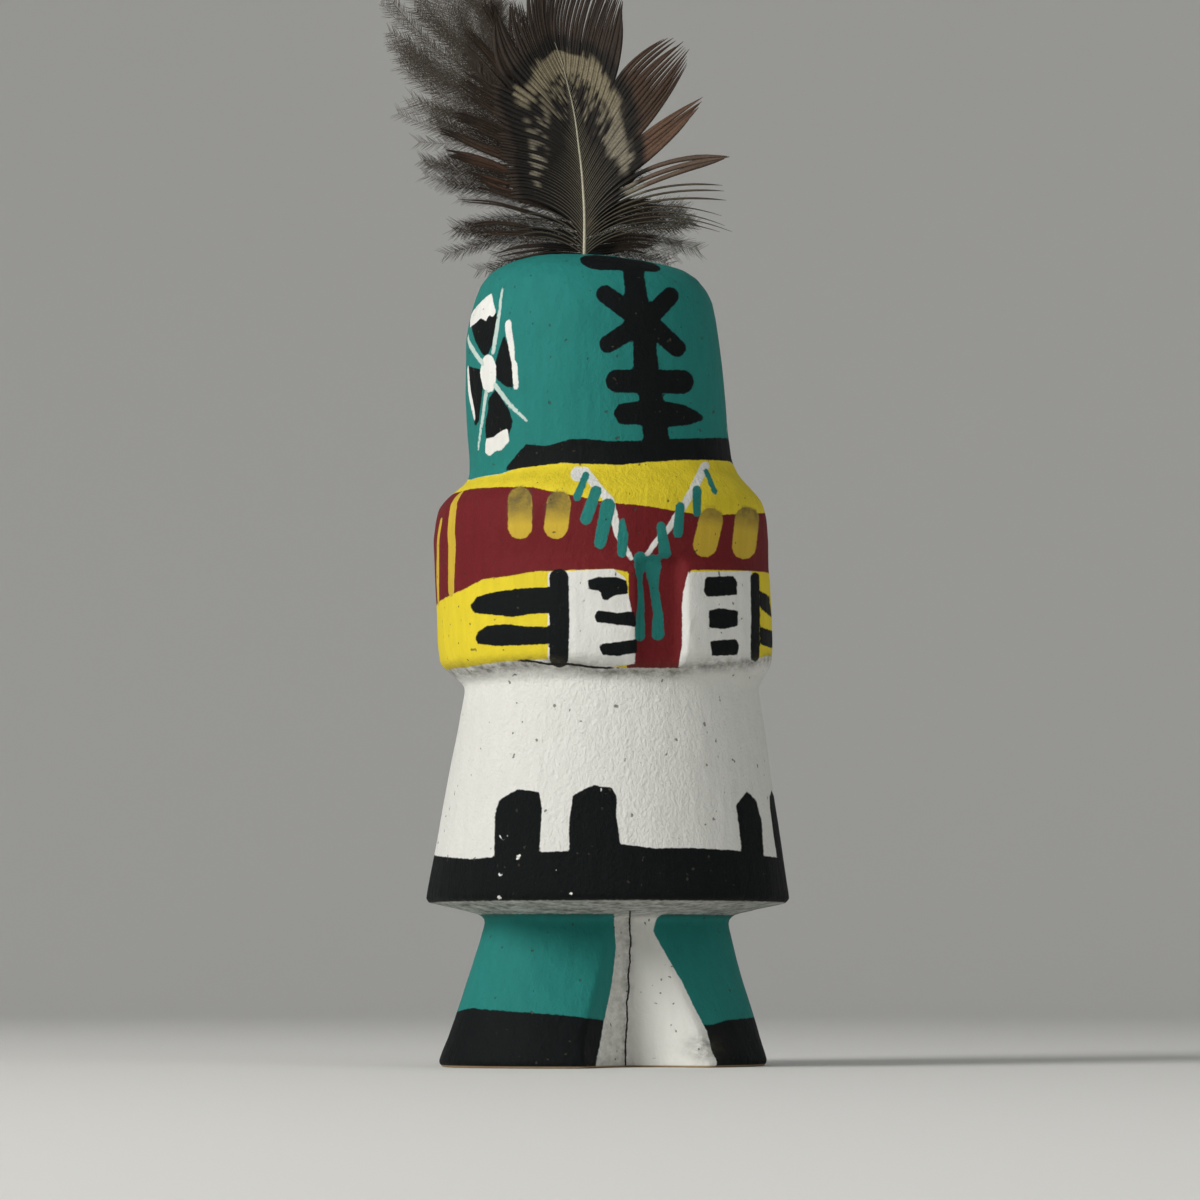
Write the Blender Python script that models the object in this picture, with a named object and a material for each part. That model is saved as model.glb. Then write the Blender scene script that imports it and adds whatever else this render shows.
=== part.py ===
"""A small carved and painted kachina doll standing on its feet, with three feathers set in its head.

Metres, +Z up. The origin is at the centre of the underside. The doll faces -Y, and its right side is -X.
Angles round the doll are counted from its front, positive toward +X.
"""
import math

import bmesh
import bpy
import numpy as np
from mathutils import Vector

MM = 0.001
SIDES = 64

# Legs and feet: an oval that flares to the toes, split in front and behind by a groove
FOOT_HALF_WIDTH = 19.1 * MM
FOOT_HALF_DEPTH = 14.3 * MM
ANKLE_HALF_WIDTH = 14.2 * MM
ANKLE_HALF_DEPTH = 7.9 * MM
LEG_HEIGHT = 16.5 * MM
LEG_FLARE = 1.15
FOOT_CORNER = 0.5 * MM
LEG_GROOVE_FROM_AXIS = 6.0 * MM
LEG_GROOVE_HALF_ANGLE_FOOT = 45.0
LEG_GROOVE_HALF_ANGLE_ANKLE = 54.0
BACK_GROOVE_FROM_AXIS = 8.4 * MM
BACK_GROOVE_HALF_ANGLE = 38.0
GROOVE_OVERRUN = 5.0 * MM
GROOVE_TOP_LIP = 0.05 * MM

# Kilt: a plain cone from the hem up to the waist
HEM_HEIGHT = 18.1 * MM
HEM_RADIUS = 20.2 * MM
HEM_EDGE = 0.35 * MM
WAIST_HEIGHT = 42.0 * MM
WAIST_RADIUS = 16.3 * MM
KILT_LEAN = (0.45 * MM, 0.95 * MM)
TORSO_LEAN = (0.25 * MM, -0.20 * MM)

# Forearms and hands: a band that stands out from the waist and from the chest
ARM_BOTTOM_HEIGHT = 44.4 * MM
ARM_RADIUS = 18.6 * MM
ARM_TOP_HEIGHT = 54.4 * MM
ARM_LEDGE_RISE = 0.8 * MM
ARM_EDGE = 0.5 * MM
CHEST_DEPTH = 0.8 * MM
CHEST_HALF_ANGLE = 45.0
CHEST_FADE_ANGLE = 24.0
ELBOW_DROP = 3.0 * MM
ELBOW_FROM_ANGLE = 56.0
ELBOW_SWEEP_ANGLE = 60.0
BACK_WAIST_SOFTNESS = 1.2 * MM
HAND_GAP_ANGLES = (-13.0, 5.6)
HAND_GAP_DEPTH = 1.5 * MM
HAND_GAP_SLANT = 0.75 * MM

# Chest and shoulders: share of the rise above the forearms, radius and shift to the side of the axis
SHOULDER_RISE = 11.0 * MM
CHEST_RADIUS = 18.7 * MM
SHOULDERS = (
    (0.35, CHEST_RADIUS, -0.30 * MM),
    (0.56, 18.45 * MM, -0.25 * MM),
    (0.67, 18.15 * MM, -0.20 * MM),
    (0.76, 17.55 * MM, 0.00 * MM),
    (0.85, 16.55 * MM, 0.10 * MM),
    (0.93, 15.60 * MM, 0.20 * MM),
    (1.00, 15.05 * MM, 0.00 * MM),
)

# Head: share of its height, radius and shift, up to a top that slopes to the doll's left
HEAD_HEIGHT = 23.8 * MM
HEAD = (
    (0.07, 14.65 * MM, -0.45 * MM),
    (0.22, 14.57 * MM, -0.82 * MM),
    (0.39, 14.50 * MM, -1.10 * MM),
    (0.53, 14.30 * MM, -1.25 * MM),
    (0.64, 14.15 * MM, -1.40 * MM),
    (0.74, 13.78 * MM, -1.36 * MM),
    (0.82, 13.24 * MM, -1.25 * MM),
    (0.875, 12.50 * MM, -1.20 * MM),
    (0.925, 11.35 * MM, -1.20 * MM),
    (0.957, 10.15 * MM, -1.20 * MM),
    (0.983, 8.70 * MM, -1.20 * MM),
    (1.00, 7.00 * MM, -1.20 * MM),
)
HEAD_TOP_SLOPE = 0.07
HEAD_SLOPE_FROM = 0.78
NECK_HEIGHT = ARM_TOP_HEIGHT + SHOULDER_RISE
HEAD_TOP_HEIGHT = NECK_HEIGHT + HEAD_HEIGHT

# Feathers: quills in three drilled holes in a row, one behind the other
HEADDRESS_YAW = -23.6
HEADDRESS_SHIFT = -2.2 * MM
QUILL_RADIUS = 0.38 * MM
QUILL_CLEARANCE = 0.32 * MM
HOLE_DEPTH = 4.0 * MM
HOLE_SIDES = 12
VANE_START = 1.9 * MM
VANE_COLUMNS = 4
VANE_ROW_STEP = 1.1 * MM
VANE_TAPER = 0.6
QUILL_EDGE = 0.06


def paint(name, colour, roughness):
    material = bpy.data.materials.new(name)
    material.use_nodes = True
    shader = material.node_tree.nodes["Principled BSDF"]
    shader.inputs["Base Color"].default_value = (*colour, 1.0)
    shader.inputs["Roughness"].default_value = roughness
    shader.inputs["Metallic"].default_value = 0.0
    return material


def add_object(name, bm, material):
    mesh = bpy.data.meshes.new(name)
    bm.to_mesh(mesh)
    bm.free()
    mesh.shade_smooth()
    mesh.set_sharp_from_angle(angle=math.radians(32))
    item = bpy.data.objects.new(name, mesh)
    bpy.context.scene.collection.objects.link(item)
    if material is not None:
        item.data.materials.append(material)
    return item


def add_cutter(name, bm, target):
    cutter = add_object(name, bm, None)
    cutter.hide_render = True
    cutter.display_type = "WIRE"
    cut = target.modifiers.new(name, "BOOLEAN")
    cut.operation = "DIFFERENCE"
    cut.solver = "EXACT"
    cut.object = cutter
    return cutter


def smooth(value):
    value = min(1.0, max(0.0, value))
    return value * value * (3 - 2 * value)


def oval_radius(half_width, half_depth, angle):
    return 1 / math.hypot(math.sin(angle) / half_width, math.cos(angle) / half_depth)


def on_ring(radius, shift, angle, height):
    return Vector((shift + radius * math.sin(angle), -radius * math.cos(angle), height))


# Rows of the body, each a function of the angle that gives a point
def leg_row(height, grow=0.0):
    share = (1 - height / LEG_HEIGHT) ** LEG_FLARE
    half_width = ANKLE_HALF_WIDTH + (FOOT_HALF_WIDTH - ANKLE_HALF_WIDTH) * share + grow
    half_depth = ANKLE_HALF_DEPTH + (FOOT_HALF_DEPTH - ANKLE_HALF_DEPTH) * share + grow
    shift = KILT_LEAN[0] * height / LEG_HEIGHT

    def place(angle):
        return on_ring(oval_radius(half_width, half_depth, angle), shift, angle, height)

    return place


def round_row(height, radius, shift):
    def place(angle):
        return on_ring(radius, shift, angle, height)

    return place


def head_row(share, radius, shift):
    height = NECK_HEIGHT + share * HEAD_HEIGHT
    slope = HEAD_TOP_SLOPE * max(0.0, share - HEAD_SLOPE_FROM) / (1 - HEAD_SLOPE_FROM)

    def place(angle):
        point = on_ring(radius, shift, angle, height)
        point.z -= slope * (point.x - shift)
        return point

    return place


def arm_row(height, inset, shift, chest, drop):
    """A row of the torso: chest is its share of the chest's step back, drop its share of the dip to the elbows."""

    def place(angle):
        turned = abs(math.degrees(angle))
        side = smooth((turned - CHEST_HALF_ANGLE) / CHEST_FADE_ANGLE)
        radius = ARM_RADIUS - inset - chest * CHEST_DEPTH * (1 - side)
        dip = drop * ELBOW_DROP * smooth((turned - ELBOW_FROM_ANGLE) / ELBOW_SWEEP_ANGLE)
        return on_ring(radius, shift, angle, height - dip)

    return place


def waist_row(share):
    """The sloping underside of the forearms, softer at the back."""
    height = WAIST_HEIGHT + share * (ARM_BOTTOM_HEIGHT - WAIST_HEIGHT)
    radius = WAIST_RADIUS + share * (ARM_RADIUS - ARM_EDGE * 0.5 - WAIST_RADIUS)
    shift = KILT_LEAN[1] * (1 - share) + TORSO_LEAN[0] * share

    def place(angle):
        back = smooth((abs(math.degrees(angle)) - 120) / 50)
        return on_ring(radius, shift, angle, height + back * share * BACK_WAIST_SOFTNESS)

    return place


def kilt_radius(height):
    share = (height - HEM_HEIGHT) / (WAIST_HEIGHT - HEM_HEIGHT)
    return HEM_RADIUS + share * (WAIST_RADIUS - HEM_RADIUS)


def kilt_shift(height):
    share = (height - HEM_HEIGHT) / (WAIST_HEIGHT - HEM_HEIGHT)
    return KILT_LEAN[0] + share * (KILT_LEAN[1] - KILT_LEAN[0])


def body_rows():
    rows = [leg_row(0.0, -FOOT_CORNER), leg_row(FOOT_CORNER)]
    rows += [leg_row(LEG_HEIGHT * share) for share in (0.2, 0.4, 0.6, 0.8, 0.93, 1.0)]
    rows.append(round_row(HEM_HEIGHT - HEM_EDGE * 0.2, HEM_RADIUS - HEM_EDGE, KILT_LEAN[0]))
    for share in (0.0, 0.25, 0.5, 0.75, 1.0):
        height = HEM_HEIGHT + HEM_EDGE + share * (WAIST_HEIGHT - HEM_HEIGHT - HEM_EDGE)
        rows.append(round_row(height, kilt_radius(height), kilt_shift(height)))
    rows += [waist_row(share) for share in (0.5, 1.0)]
    low, high = ARM_BOTTOM_HEIGHT, ARM_TOP_HEIGHT
    start, end = TORSO_LEAN
    rows.append(arm_row(low + 0.24 * (high - low), 0.0, start * 0.6, 0.0, 0.1))
    rows.append(arm_row(low + 0.58 * (high - low), 0.0, 0.0, 0.0, 0.4))
    rows.append(arm_row(high - ARM_EDGE, 0.0, end * 0.5, 0.0, 1.0))
    rows.append(arm_row(high, 0.0, end * 0.75, 0.35, 1.0))
    rows.append(arm_row(high + ARM_LEDGE_RISE * 0.5, 0.0, end * 0.75, 0.95, 1.0))
    rows.append(arm_row(high + ARM_LEDGE_RISE, 0.0, end, 1.0, 0.9))
    for share, radius, shift in SHOULDERS:
        height = ARM_TOP_HEIGHT + share * SHOULDER_RISE
        rows.append(arm_row(height, ARM_RADIUS - radius, shift, shoulder_share(share), 0.0))
    rows += [head_row(*stretch) for stretch in HEAD]
    return rows


def shoulder_share(share):
    """The chest's step back dies out up the shoulders."""
    low = SHOULDERS[0][0]
    return 1 - smooth((share - low) / (1 - low))


def add_body(material):
    bm = bmesh.new()
    rings = []
    for place in body_rows():
        ring = bmesh.ops.create_circle(bm, segments=SIDES, radius=1.0)["verts"]
        for vert in ring:
            vert.co = place(math.atan2(vert.co.x, -vert.co.y))
        rings.append({edge for vert in ring for edge in vert.link_edges})
    for low, high in zip(rings, rings[1:]):
        bmesh.ops.bridge_loops(bm, edges=list(low | high))
    bmesh.ops.contextual_create(bm, geom=list(rings[0]))
    bmesh.ops.contextual_create(bm, geom=list(rings[-1]))
    bmesh.ops.recalc_face_normals(bm, faces=bm.faces[:])
    return add_object("body", bm, material)


def add_prism(name, low, high, target):
    """A cutter between two outlines with the same number of corners."""
    bm = bmesh.new()
    rings = []
    for corners in (low, high):
        ring = [bm.verts.new(corner) for corner in corners]
        rings.append(bm.faces.new(ring).edges[:])
    bmesh.ops.bridge_loops(bm, edges=rings[0] + rings[1])
    bmesh.ops.recalc_face_normals(bm, faces=bm.faces[:])
    return add_cutter(name, bm, target)


def groove_corners(apex, half_angle, side, height):
    reach = FOOT_HALF_DEPTH + GROOVE_OVERRUN - apex
    spread = reach * math.tan(math.radians(half_angle))
    far = side * (apex + reach)
    return [(0.0, side * apex, height), (spread, far, height), (-spread, far, height)]


def cut_leg_grooves(body):
    top = LEG_HEIGHT - GROOVE_TOP_LIP
    front = LEG_GROOVE_FROM_AXIS
    low = groove_corners(front, LEG_GROOVE_HALF_ANGLE_FOOT, -1, -GROOVE_OVERRUN)
    high = groove_corners(front, LEG_GROOVE_HALF_ANGLE_ANKLE, -1, top)
    add_prism("front_groove_cutter", low, high, body)
    low = groove_corners(BACK_GROOVE_FROM_AXIS, BACK_GROOVE_HALF_ANGLE, 1, -GROOVE_OVERRUN)
    high = groove_corners(BACK_GROOVE_FROM_AXIS, BACK_GROOVE_HALF_ANGLE, 1, top)
    add_prism("back_groove_cutter", low, high, body)


def cut_hand_gap(body):
    """The slot between the two hands, down to just under the chest."""
    left, right = [math.radians(angle) for angle in HAND_GAP_ANGLES]
    floor = ARM_RADIUS - HAND_GAP_DEPTH
    outside = ARM_RADIUS + HAND_GAP_DEPTH
    x_left = ARM_RADIUS * math.sin(left)
    x_right = ARM_RADIUS * math.sin(right)
    flare = HAND_GAP_SLANT * (outside - floor) / HAND_GAP_DEPTH

    def corners(height):
        return [
            (x_left + HAND_GAP_SLANT, -floor, height),
            (x_right - HAND_GAP_SLANT, -floor, height),
            (x_right - HAND_GAP_SLANT + flare, -outside, height),
            (x_left + HAND_GAP_SLANT - flare, -outside, height),
        ]

    low = corners(WAIST_HEIGHT)
    high = corners(ARM_TOP_HEIGHT + ARM_LEDGE_RISE)
    add_prism("hand_gap_cutter", low, high, body)


def headdress_point(depth):
    """Where a quill stands on the head; depth is counted away from the headdress's front."""
    yaw = math.radians(HEADDRESS_YAW)
    across = Vector((math.cos(yaw), math.sin(yaw), 0.0))
    away = Vector((-math.sin(yaw), math.cos(yaw), 0.0))
    return across * HEADDRESS_SHIFT + away * depth


def head_top_at(x):
    return HEAD_TOP_HEIGHT - HEAD_TOP_SLOPE * (x - HEAD[-1][2])


def cut_quill_hole(name, spot, body):
    radius = QUILL_RADIUS + QUILL_CLEARANCE
    top = head_top_at(spot.x)
    bm = bmesh.new()
    bmesh.ops.create_cone(
        bm, cap_ends=True, segments=HOLE_SIDES, radius1=radius, radius2=radius, depth=2 * HOLE_DEPTH
    )
    bmesh.ops.translate(bm, verts=bm.verts[:], vec=(spot.x, spot.y, top))
    return add_cutter(name + "_hole_cutter", bm, body)


# The three feathers, as seen from their own front: heights and lengths in mm up the rachis.
# Each barb station is the height where the barb leaves, its angle from upright and its length.
FEATHERS = {
    "feather_front": {
        "depth": -1.9 * MM,
        "rachis": ((0.0, 0.0), (0.0, 9.0), (-0.4, 16.0), (-3.2, 23.2)),
        "lean": 0.03,
        "thickness": 0.8 * MM,
        "cup_radius": 125.0 * MM,
        "left": (
            (1.9, -84.0, 3.0), (3.6, -72.0, 7.6), (6.4, -60.0, 9.6), (9.0, -52.0, 11.8), (10.2, -49.0, 10.2),
            (12.6, -44.0, 12.6), (16.0, -36.0, 11.8), (17.4, -31.0, 9.6), (18.7, -27.0, 10.9), (21.6, -16.0, 9.6),
            (23.2, -8.0, 8.8),
        ),
        "right": (
            (1.9, 88.0, 3.0), (2.7, 81.0, 11.5), (3.6, 71.5, 17.0), (4.3, 70.0, 17.1), (4.8, 65.0, 9.0),
            (5.4, 53.0, 17.0), (6.4, 51.5, 16.9), (6.9, 50.0, 8.4), (7.6, 43.5, 16.8), (10.2, 42.0, 15.9),
            (12.6, 40.5, 14.2), (13.2, 38.0, 6.6), (13.9, 28.0, 9.9), (14.9, 24.0, 12.2), (18.0, 18.0, 11.8),
            (20.6, 11.0, 10.6), (23.2, -1.0, 9.0),
        ),
    },
    "feather_side": {
        "depth": -0.1 * MM,
        "rachis": ((0.0, 0.0), (-1.2, 7.0), (-5.0, 13.0), (-9.0, 19.5)),
        "lean": 0.07,
        "thickness": 0.8 * MM,
        "cup_radius": 170.0 * MM,
        "left": (
            (1.9, -96.0, 4.0), (3.2, -92.0, 11.0), (4.6, -86.0, 12.0), (5.6, -83.0, 7.6), (6.8, -79.0, 12.4),
            (9.0, -75.0, 11.8), (10.5, -68.0, 7.4), (12.0, -61.0, 10.4), (13.2, -55.0, 9.6), (14.2, -52.0, 6.2),
            (16.0, -44.0, 8.4), (19.5, -28.0, 7.0),
        ),
        "right": (
            (1.9, 84.0, 3.0), (5.0, 55.0, 7.0), (9.0, 40.0, 8.0), (14.0, 22.0, 8.0), (19.5, -12.0, 7.4),
        ),
    },
    "feather_down": {
        "depth": 2.4 * MM,
        "rachis": ((0.0, 0.0), (-2.5, 9.0), (-8.0, 15.5), (-14.0, 22.0)),
        "lean": 0.13,
        "thickness": 2.4 * MM,
        "cup_radius": 900.0 * MM,
        "left": (
            (1.9, -100.0, 6.0), (3.2, -94.0, 11.8), (5.0, -86.0, 8.4), (7.0, -76.0, 11.6), (9.0, -68.0, 8.0),
            (11.5, -64.0, 12.2), (13.6, -59.0, 9.6), (16.4, -54.0, 13.0), (18.2, -47.0, 9.6),
            (20.2, -38.0, 11.4), (22.0, -20.0, 9.8),
        ),
        "right": (
            (1.9, 94.0, 8.0), (3.2, 86.0, 14.2), (5.0, 70.0, 10.5), (7.5, 56.0, 14.5), (10.0, 44.0, 10.5),
            (13.0, 32.0, 13.4), (16.0, 18.0, 10.0), (22.0, -8.0, 9.2),
        ),
    },
}


def curve_point(points, share):
    """A cubic curve's point in the feather's own plane, with +X to the right and +Z up."""
    a, b, c, d = [Vector((x, 0.0, z)) * MM for x, z in points]
    rest = 1 - share
    return a * rest**3 + b * 3 * rest**2 * share + c * 3 * rest * share**2 + d * share**3


def rachis_at(points, height):
    """The rachis's point at a height above the head."""
    low, high = 0.0, 1.0
    for _ in range(30):
        middle = (low + high) / 2
        if curve_point(points, middle).z < height:
            low = middle
        else:
            high = middle
    return curve_point(points, low)


def barb(stations, height):
    """The direction and the length of the barb that leaves the rachis at a height."""
    heights = [station[0] * MM for station in stations]
    angle = math.radians(float(np.interp(height, heights, [station[1] for station in stations])))
    length = float(np.interp(height, heights, [station[2] for station in stations])) * MM
    return Vector((math.sin(angle), 0.0, math.cos(angle))), length


def row_heights(shape):
    """Every height at which a barb station stands, with rows between those that lie far apart."""
    stations = sorted({station[0] * MM for side in ("left", "right") for station in shape[side]})
    heights = [stations[0]]
    for height in stations[1:]:
        gap = height - heights[-1]
        count = max(1, math.ceil(gap / VANE_ROW_STEP))
        start = heights[-1]
        heights += [start + gap * step / count for step in range(1, count + 1)]
    return heights


def feather_rows(shape):
    """Rows of points across the feather, from the quill's end to the tip, each with its half thickness."""
    shares = [column / VANE_COLUMNS - 1 for column in range(2 * VANE_COLUMNS + 1)]
    rows = []
    for height in (-HOLE_DEPTH + QUILL_CLEARANCE, 0.0, VANE_START - QUILL_RADIUS):
        centre = rachis_at(shape["rachis"], height) if height > 0 else Vector((0.0, 0.0, height))
        row = []
        for share in shares:
            half = QUILL_RADIUS * math.sqrt(max(QUILL_EDGE, 1 - share * share))
            row.append((centre + Vector((share * QUILL_RADIUS, 0.0, 0.0)), half))
        rows.append(row)
    for height in row_heights(shape):
        centre = rachis_at(shape["rachis"], height)
        row = []
        for share in shares:
            stations = shape["left"] if share < 0 else shape["right"]
            direction, length = barb(stations, height)
            reach = abs(share) * length
            point = centre + direction * reach
            point.y = -reach * reach / (2 * shape["cup_radius"])
            row.append((point, shape["thickness"] / 2 * (1 - VANE_TAPER * abs(share))))
        rows.append(row)
    for row in rows:
        for point, half in row:
            point.y += shape["lean"] * max(0.0, point.z)
    return rows


def add_feather(name, shape, material):
    rows = feather_rows(shape)
    across = len(rows[0])
    bm = bmesh.new()
    grid = bmesh.ops.create_grid(bm, x_segments=across - 1, y_segments=len(rows) - 1, size=1.0)
    spots = {}
    for vert in grid["verts"]:
        column = round((vert.co.x + 1) / 2 * (across - 1))
        line = round((vert.co.y + 1) / 2 * (len(rows) - 1))
        spots[(column, line)] = vert
    for (column, line), vert in spots.items():
        point, half = rows[line][column]
        vert.co = point
    backs = bmesh.ops.extrude_face_region(bm, geom=bm.faces[:])["geom"]
    fronts = set(grid["verts"])
    offsets = {}
    for (column, line), vert in spots.items():
        offsets[tuple(vert.co)] = rows[line][column][1]
    for item in backs:
        if isinstance(item, bmesh.types.BMVert):
            item.co.y += offsets[tuple(item.co)]
    for vert in fronts:
        vert.co.y -= offsets[tuple(vert.co)]
    bmesh.ops.recalc_face_normals(bm, faces=bm.faces[:])
    feather = add_object(name, bm, material)
    spot = headdress_point(shape["depth"])
    feather.location = (spot.x, spot.y, head_top_at(spot.x))
    feather.rotation_euler = (0.0, 0.0, math.radians(HEADDRESS_YAW))
    return feather


def clear_scene():
    for item in list(bpy.data.objects):
        bpy.data.objects.remove(item, do_unlink=True)


clear_scene()
wood = paint("painted_wood", (0.045, 0.19, 0.165), 0.6)
body = add_body(wood)
cut_leg_grooves(body)
cut_hand_gap(body)
feather_colours = {
    "feather_front": (0.16, 0.13, 0.08),
    "feather_side": (0.06, 0.035, 0.025),
    "feather_down": (0.12, 0.095, 0.07),
}
for feather_name, feather_shape in FEATHERS.items():
    cut_quill_hole(feather_name, headdress_point(feather_shape["depth"]), body)
    add_feather(feather_name, feather_shape, paint(feather_name, feather_colours[feather_name], 0.8))
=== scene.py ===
"""A small kachina doll: one carved and painted stick of root wood with feathers set in its head.

Metres, +Z up; the doll faces -Y and stands on its flat feet at the origin.
"""
import math

import bmesh
import bpy
import numpy as np
from mathutils import Matrix, Vector, noise
from mathutils.bvhtree import BVHTree


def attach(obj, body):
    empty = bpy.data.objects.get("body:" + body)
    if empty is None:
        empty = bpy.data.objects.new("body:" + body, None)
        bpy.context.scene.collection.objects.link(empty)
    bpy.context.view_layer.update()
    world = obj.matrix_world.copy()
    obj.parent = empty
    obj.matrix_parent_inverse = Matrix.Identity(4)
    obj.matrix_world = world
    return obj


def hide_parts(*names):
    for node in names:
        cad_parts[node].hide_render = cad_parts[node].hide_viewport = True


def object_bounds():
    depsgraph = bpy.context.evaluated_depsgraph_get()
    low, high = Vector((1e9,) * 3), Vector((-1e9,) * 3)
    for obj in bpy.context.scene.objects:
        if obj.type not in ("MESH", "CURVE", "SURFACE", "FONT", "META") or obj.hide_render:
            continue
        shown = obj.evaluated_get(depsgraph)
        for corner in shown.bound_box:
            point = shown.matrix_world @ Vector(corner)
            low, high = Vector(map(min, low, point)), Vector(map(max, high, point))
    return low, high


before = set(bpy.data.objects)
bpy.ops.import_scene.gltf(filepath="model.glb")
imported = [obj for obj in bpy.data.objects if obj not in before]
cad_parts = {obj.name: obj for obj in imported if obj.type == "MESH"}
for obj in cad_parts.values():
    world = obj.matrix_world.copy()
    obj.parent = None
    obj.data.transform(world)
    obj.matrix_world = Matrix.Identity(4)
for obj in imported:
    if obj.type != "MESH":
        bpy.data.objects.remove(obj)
solid_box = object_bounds()

# Eye, table and light.
# The doll is seen from a little to its right and from just above the table, through a long lens.
# A big soft window stands to the upper left, a pale table and a curved pale wall go all round.
MM = 0.001
PHOTO_WIDTH = 1200
PHOTO_TURN = math.radians(-23.6)
EYE_REACH = 530 * MM
EYE_HEIGHT = 10 * MM
AIM_ACROSS = -0.45 * MM
AIM_HEIGHT = 51.7 * MM
LENS = 143.15

across = Vector((math.cos(PHOTO_TURN), math.sin(PHOTO_TURN), 0.0))
toward_eye = Vector((math.sin(PHOTO_TURN), -math.cos(PHOTO_TURN), 0.0))
eye = toward_eye * EYE_REACH + Vector((0, 0, EYE_HEIGHT))
aim = across * AIM_ACROSS + Vector((0, 0, AIM_HEIGHT))

camera_data = bpy.data.cameras.new("camera")
camera_data.sensor_width = 36
camera_data.lens = LENS
camera_data.clip_start = 0.01
camera = bpy.data.objects.new("camera", camera_data)
camera.location = eye
eye_turn = (aim - eye).to_track_quat("-Z", "Y")
camera.rotation_euler = eye_turn.to_euler()
bpy.context.scene.collection.objects.link(camera)
bpy.context.scene.camera = camera

ROOM_RADIUS = 1.5
ROOM_CORNER = 0.85
TABLE_COLOUR = (0.79, 0.785, 0.76, 1)


def new_piece(name, bm):
    mesh = bpy.data.meshes.new(name)
    bm.to_mesh(mesh)
    bm.free()
    piece = bpy.data.objects.new(name, mesh)
    bpy.context.scene.collection.objects.link(piece)
    return piece


bm = bmesh.new()
turns = 28
start = bm.verts.new((0.0, 0.0, 0.0))
profile = [start, bm.verts.new((ROOM_RADIUS - ROOM_CORNER, 0.0, 0.0))]
for step in range(1, turns + 1):
    turn = math.pi / 2 * step / turns
    out = ROOM_RADIUS - ROOM_CORNER + ROOM_CORNER * math.sin(turn)
    profile.append(bm.verts.new((out, 0.0, ROOM_CORNER * (1 - math.cos(turn)))))
profile.append(bm.verts.new((ROOM_RADIUS, 0.0, 2.2)))
edges = [bm.edges.new(pair) for pair in zip(profile, profile[1:])]
bmesh.ops.spin(
    bm, geom=profile + edges, axis=(0, 0, 1), cent=(0, 0, 0), angle=math.tau, steps=96, use_merge=True
)
bmesh.ops.remove_doubles(bm, verts=bm.verts[:], dist=0.0001)
bmesh.ops.recalc_face_normals(bm, faces=bm.faces[:])
table = new_piece("table", bm)
table.data.shade_smooth()
table_paint = bpy.data.materials.new("pale_table")
table_paint.use_nodes = True
table_paint.node_tree.nodes["Principled BSDF"].inputs["Base Color"].default_value = TABLE_COLOUR
table_paint.node_tree.nodes["Principled BSDF"].inputs["Roughness"].default_value = 0.9
table.data.materials.append(table_paint)


def add_window(name, place, width, power, colour):
    lamp = bpy.data.lights.new(name, "AREA")
    lamp.shape = "DISK"
    lamp.size = width
    lamp.energy = power
    lamp.color = colour
    item = bpy.data.objects.new(name, lamp)
    item.location = place
    item.rotation_euler = (Vector((0, 0, 0.05)) - place).to_track_quat("-Z", "Y").to_euler()
    bpy.context.scene.collection.objects.link(item)


left_window = across * -0.62 + toward_eye * 0.48 + Vector((0, 0, 0.46))
right_fill = across * 0.7 + toward_eye * 0.75 + Vector((0, 0, 0.35))
add_window("left_window", left_window, 0.45, 6.2, (1.0, 0.985, 0.96))
add_window("right_fill", right_fill, 0.9, 1.5, (0.97, 0.985, 1.0))

sky = bpy.data.worlds.new("room")
sky.use_nodes = True
sky.node_tree.nodes["Background"].inputs["Color"].default_value = (0.93, 0.96, 1.0, 1)
sky.node_tree.nodes["Background"].inputs["Strength"].default_value = 0.26
bpy.context.scene.world = sky
bpy.context.scene.view_settings.view_transform = "Standard"

# Carved body.
# One stick of cottonwood root, whittled to head, chest, forearms, kilt and feet, then sanded roughly.
# The knife leaves low facets and the long grain of the root, which show through the paint.
SKIN_STEP = 0.42 * MM
FACET_DEPTH = 0.10 * MM
FACET_ACROSS = 260
FACET_UP = 130
GRAIN_DEPTH = 0.05 * MM
GRAIN_ACROSS = 1300
GRAIN_UP = 170
CROWN_HEIGHT = 87.6 * MM
CROWN_BAND = 1.9 * MM
CROWN_FLAT = 9 * MM
CROWN_FULLNESS = (0.55 * MM, 0.35 * MM)


def merged_copy(node, name):
    bm = bmesh.new()
    bm.from_mesh(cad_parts[node].data)
    bmesh.ops.remove_doubles(bm, verts=bm.verts[:], dist=0.000001)
    return new_piece(name, bm)


def settled(piece):
    """The piece with its modifiers made part of its mesh."""
    graph = bpy.context.evaluated_depsgraph_get()
    mesh = bpy.data.meshes.new_from_object(piece.evaluated_get(graph))
    piece.modifiers.clear()
    old = piece.data
    piece.data = mesh
    bpy.data.meshes.remove(old)
    mesh.name = piece.name
    return piece


def points_of(mesh):
    spots = np.empty(len(mesh.vertices) * 3)
    mesh.vertices.foreach_get("co", spots)
    return spots.reshape(-1, 3)


def set_points(mesh, spots):
    mesh.vertices.foreach_set("co", spots.ravel())
    mesh.update()


def form_of(mesh):
    """A mesh's surface, ready for lines of sight to be traced to it."""
    corners = [vert.co.copy() for vert in mesh.vertices]
    return BVHTree.FromPolygons(corners, [face.vertices[:] for face in mesh.polygons])


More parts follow.
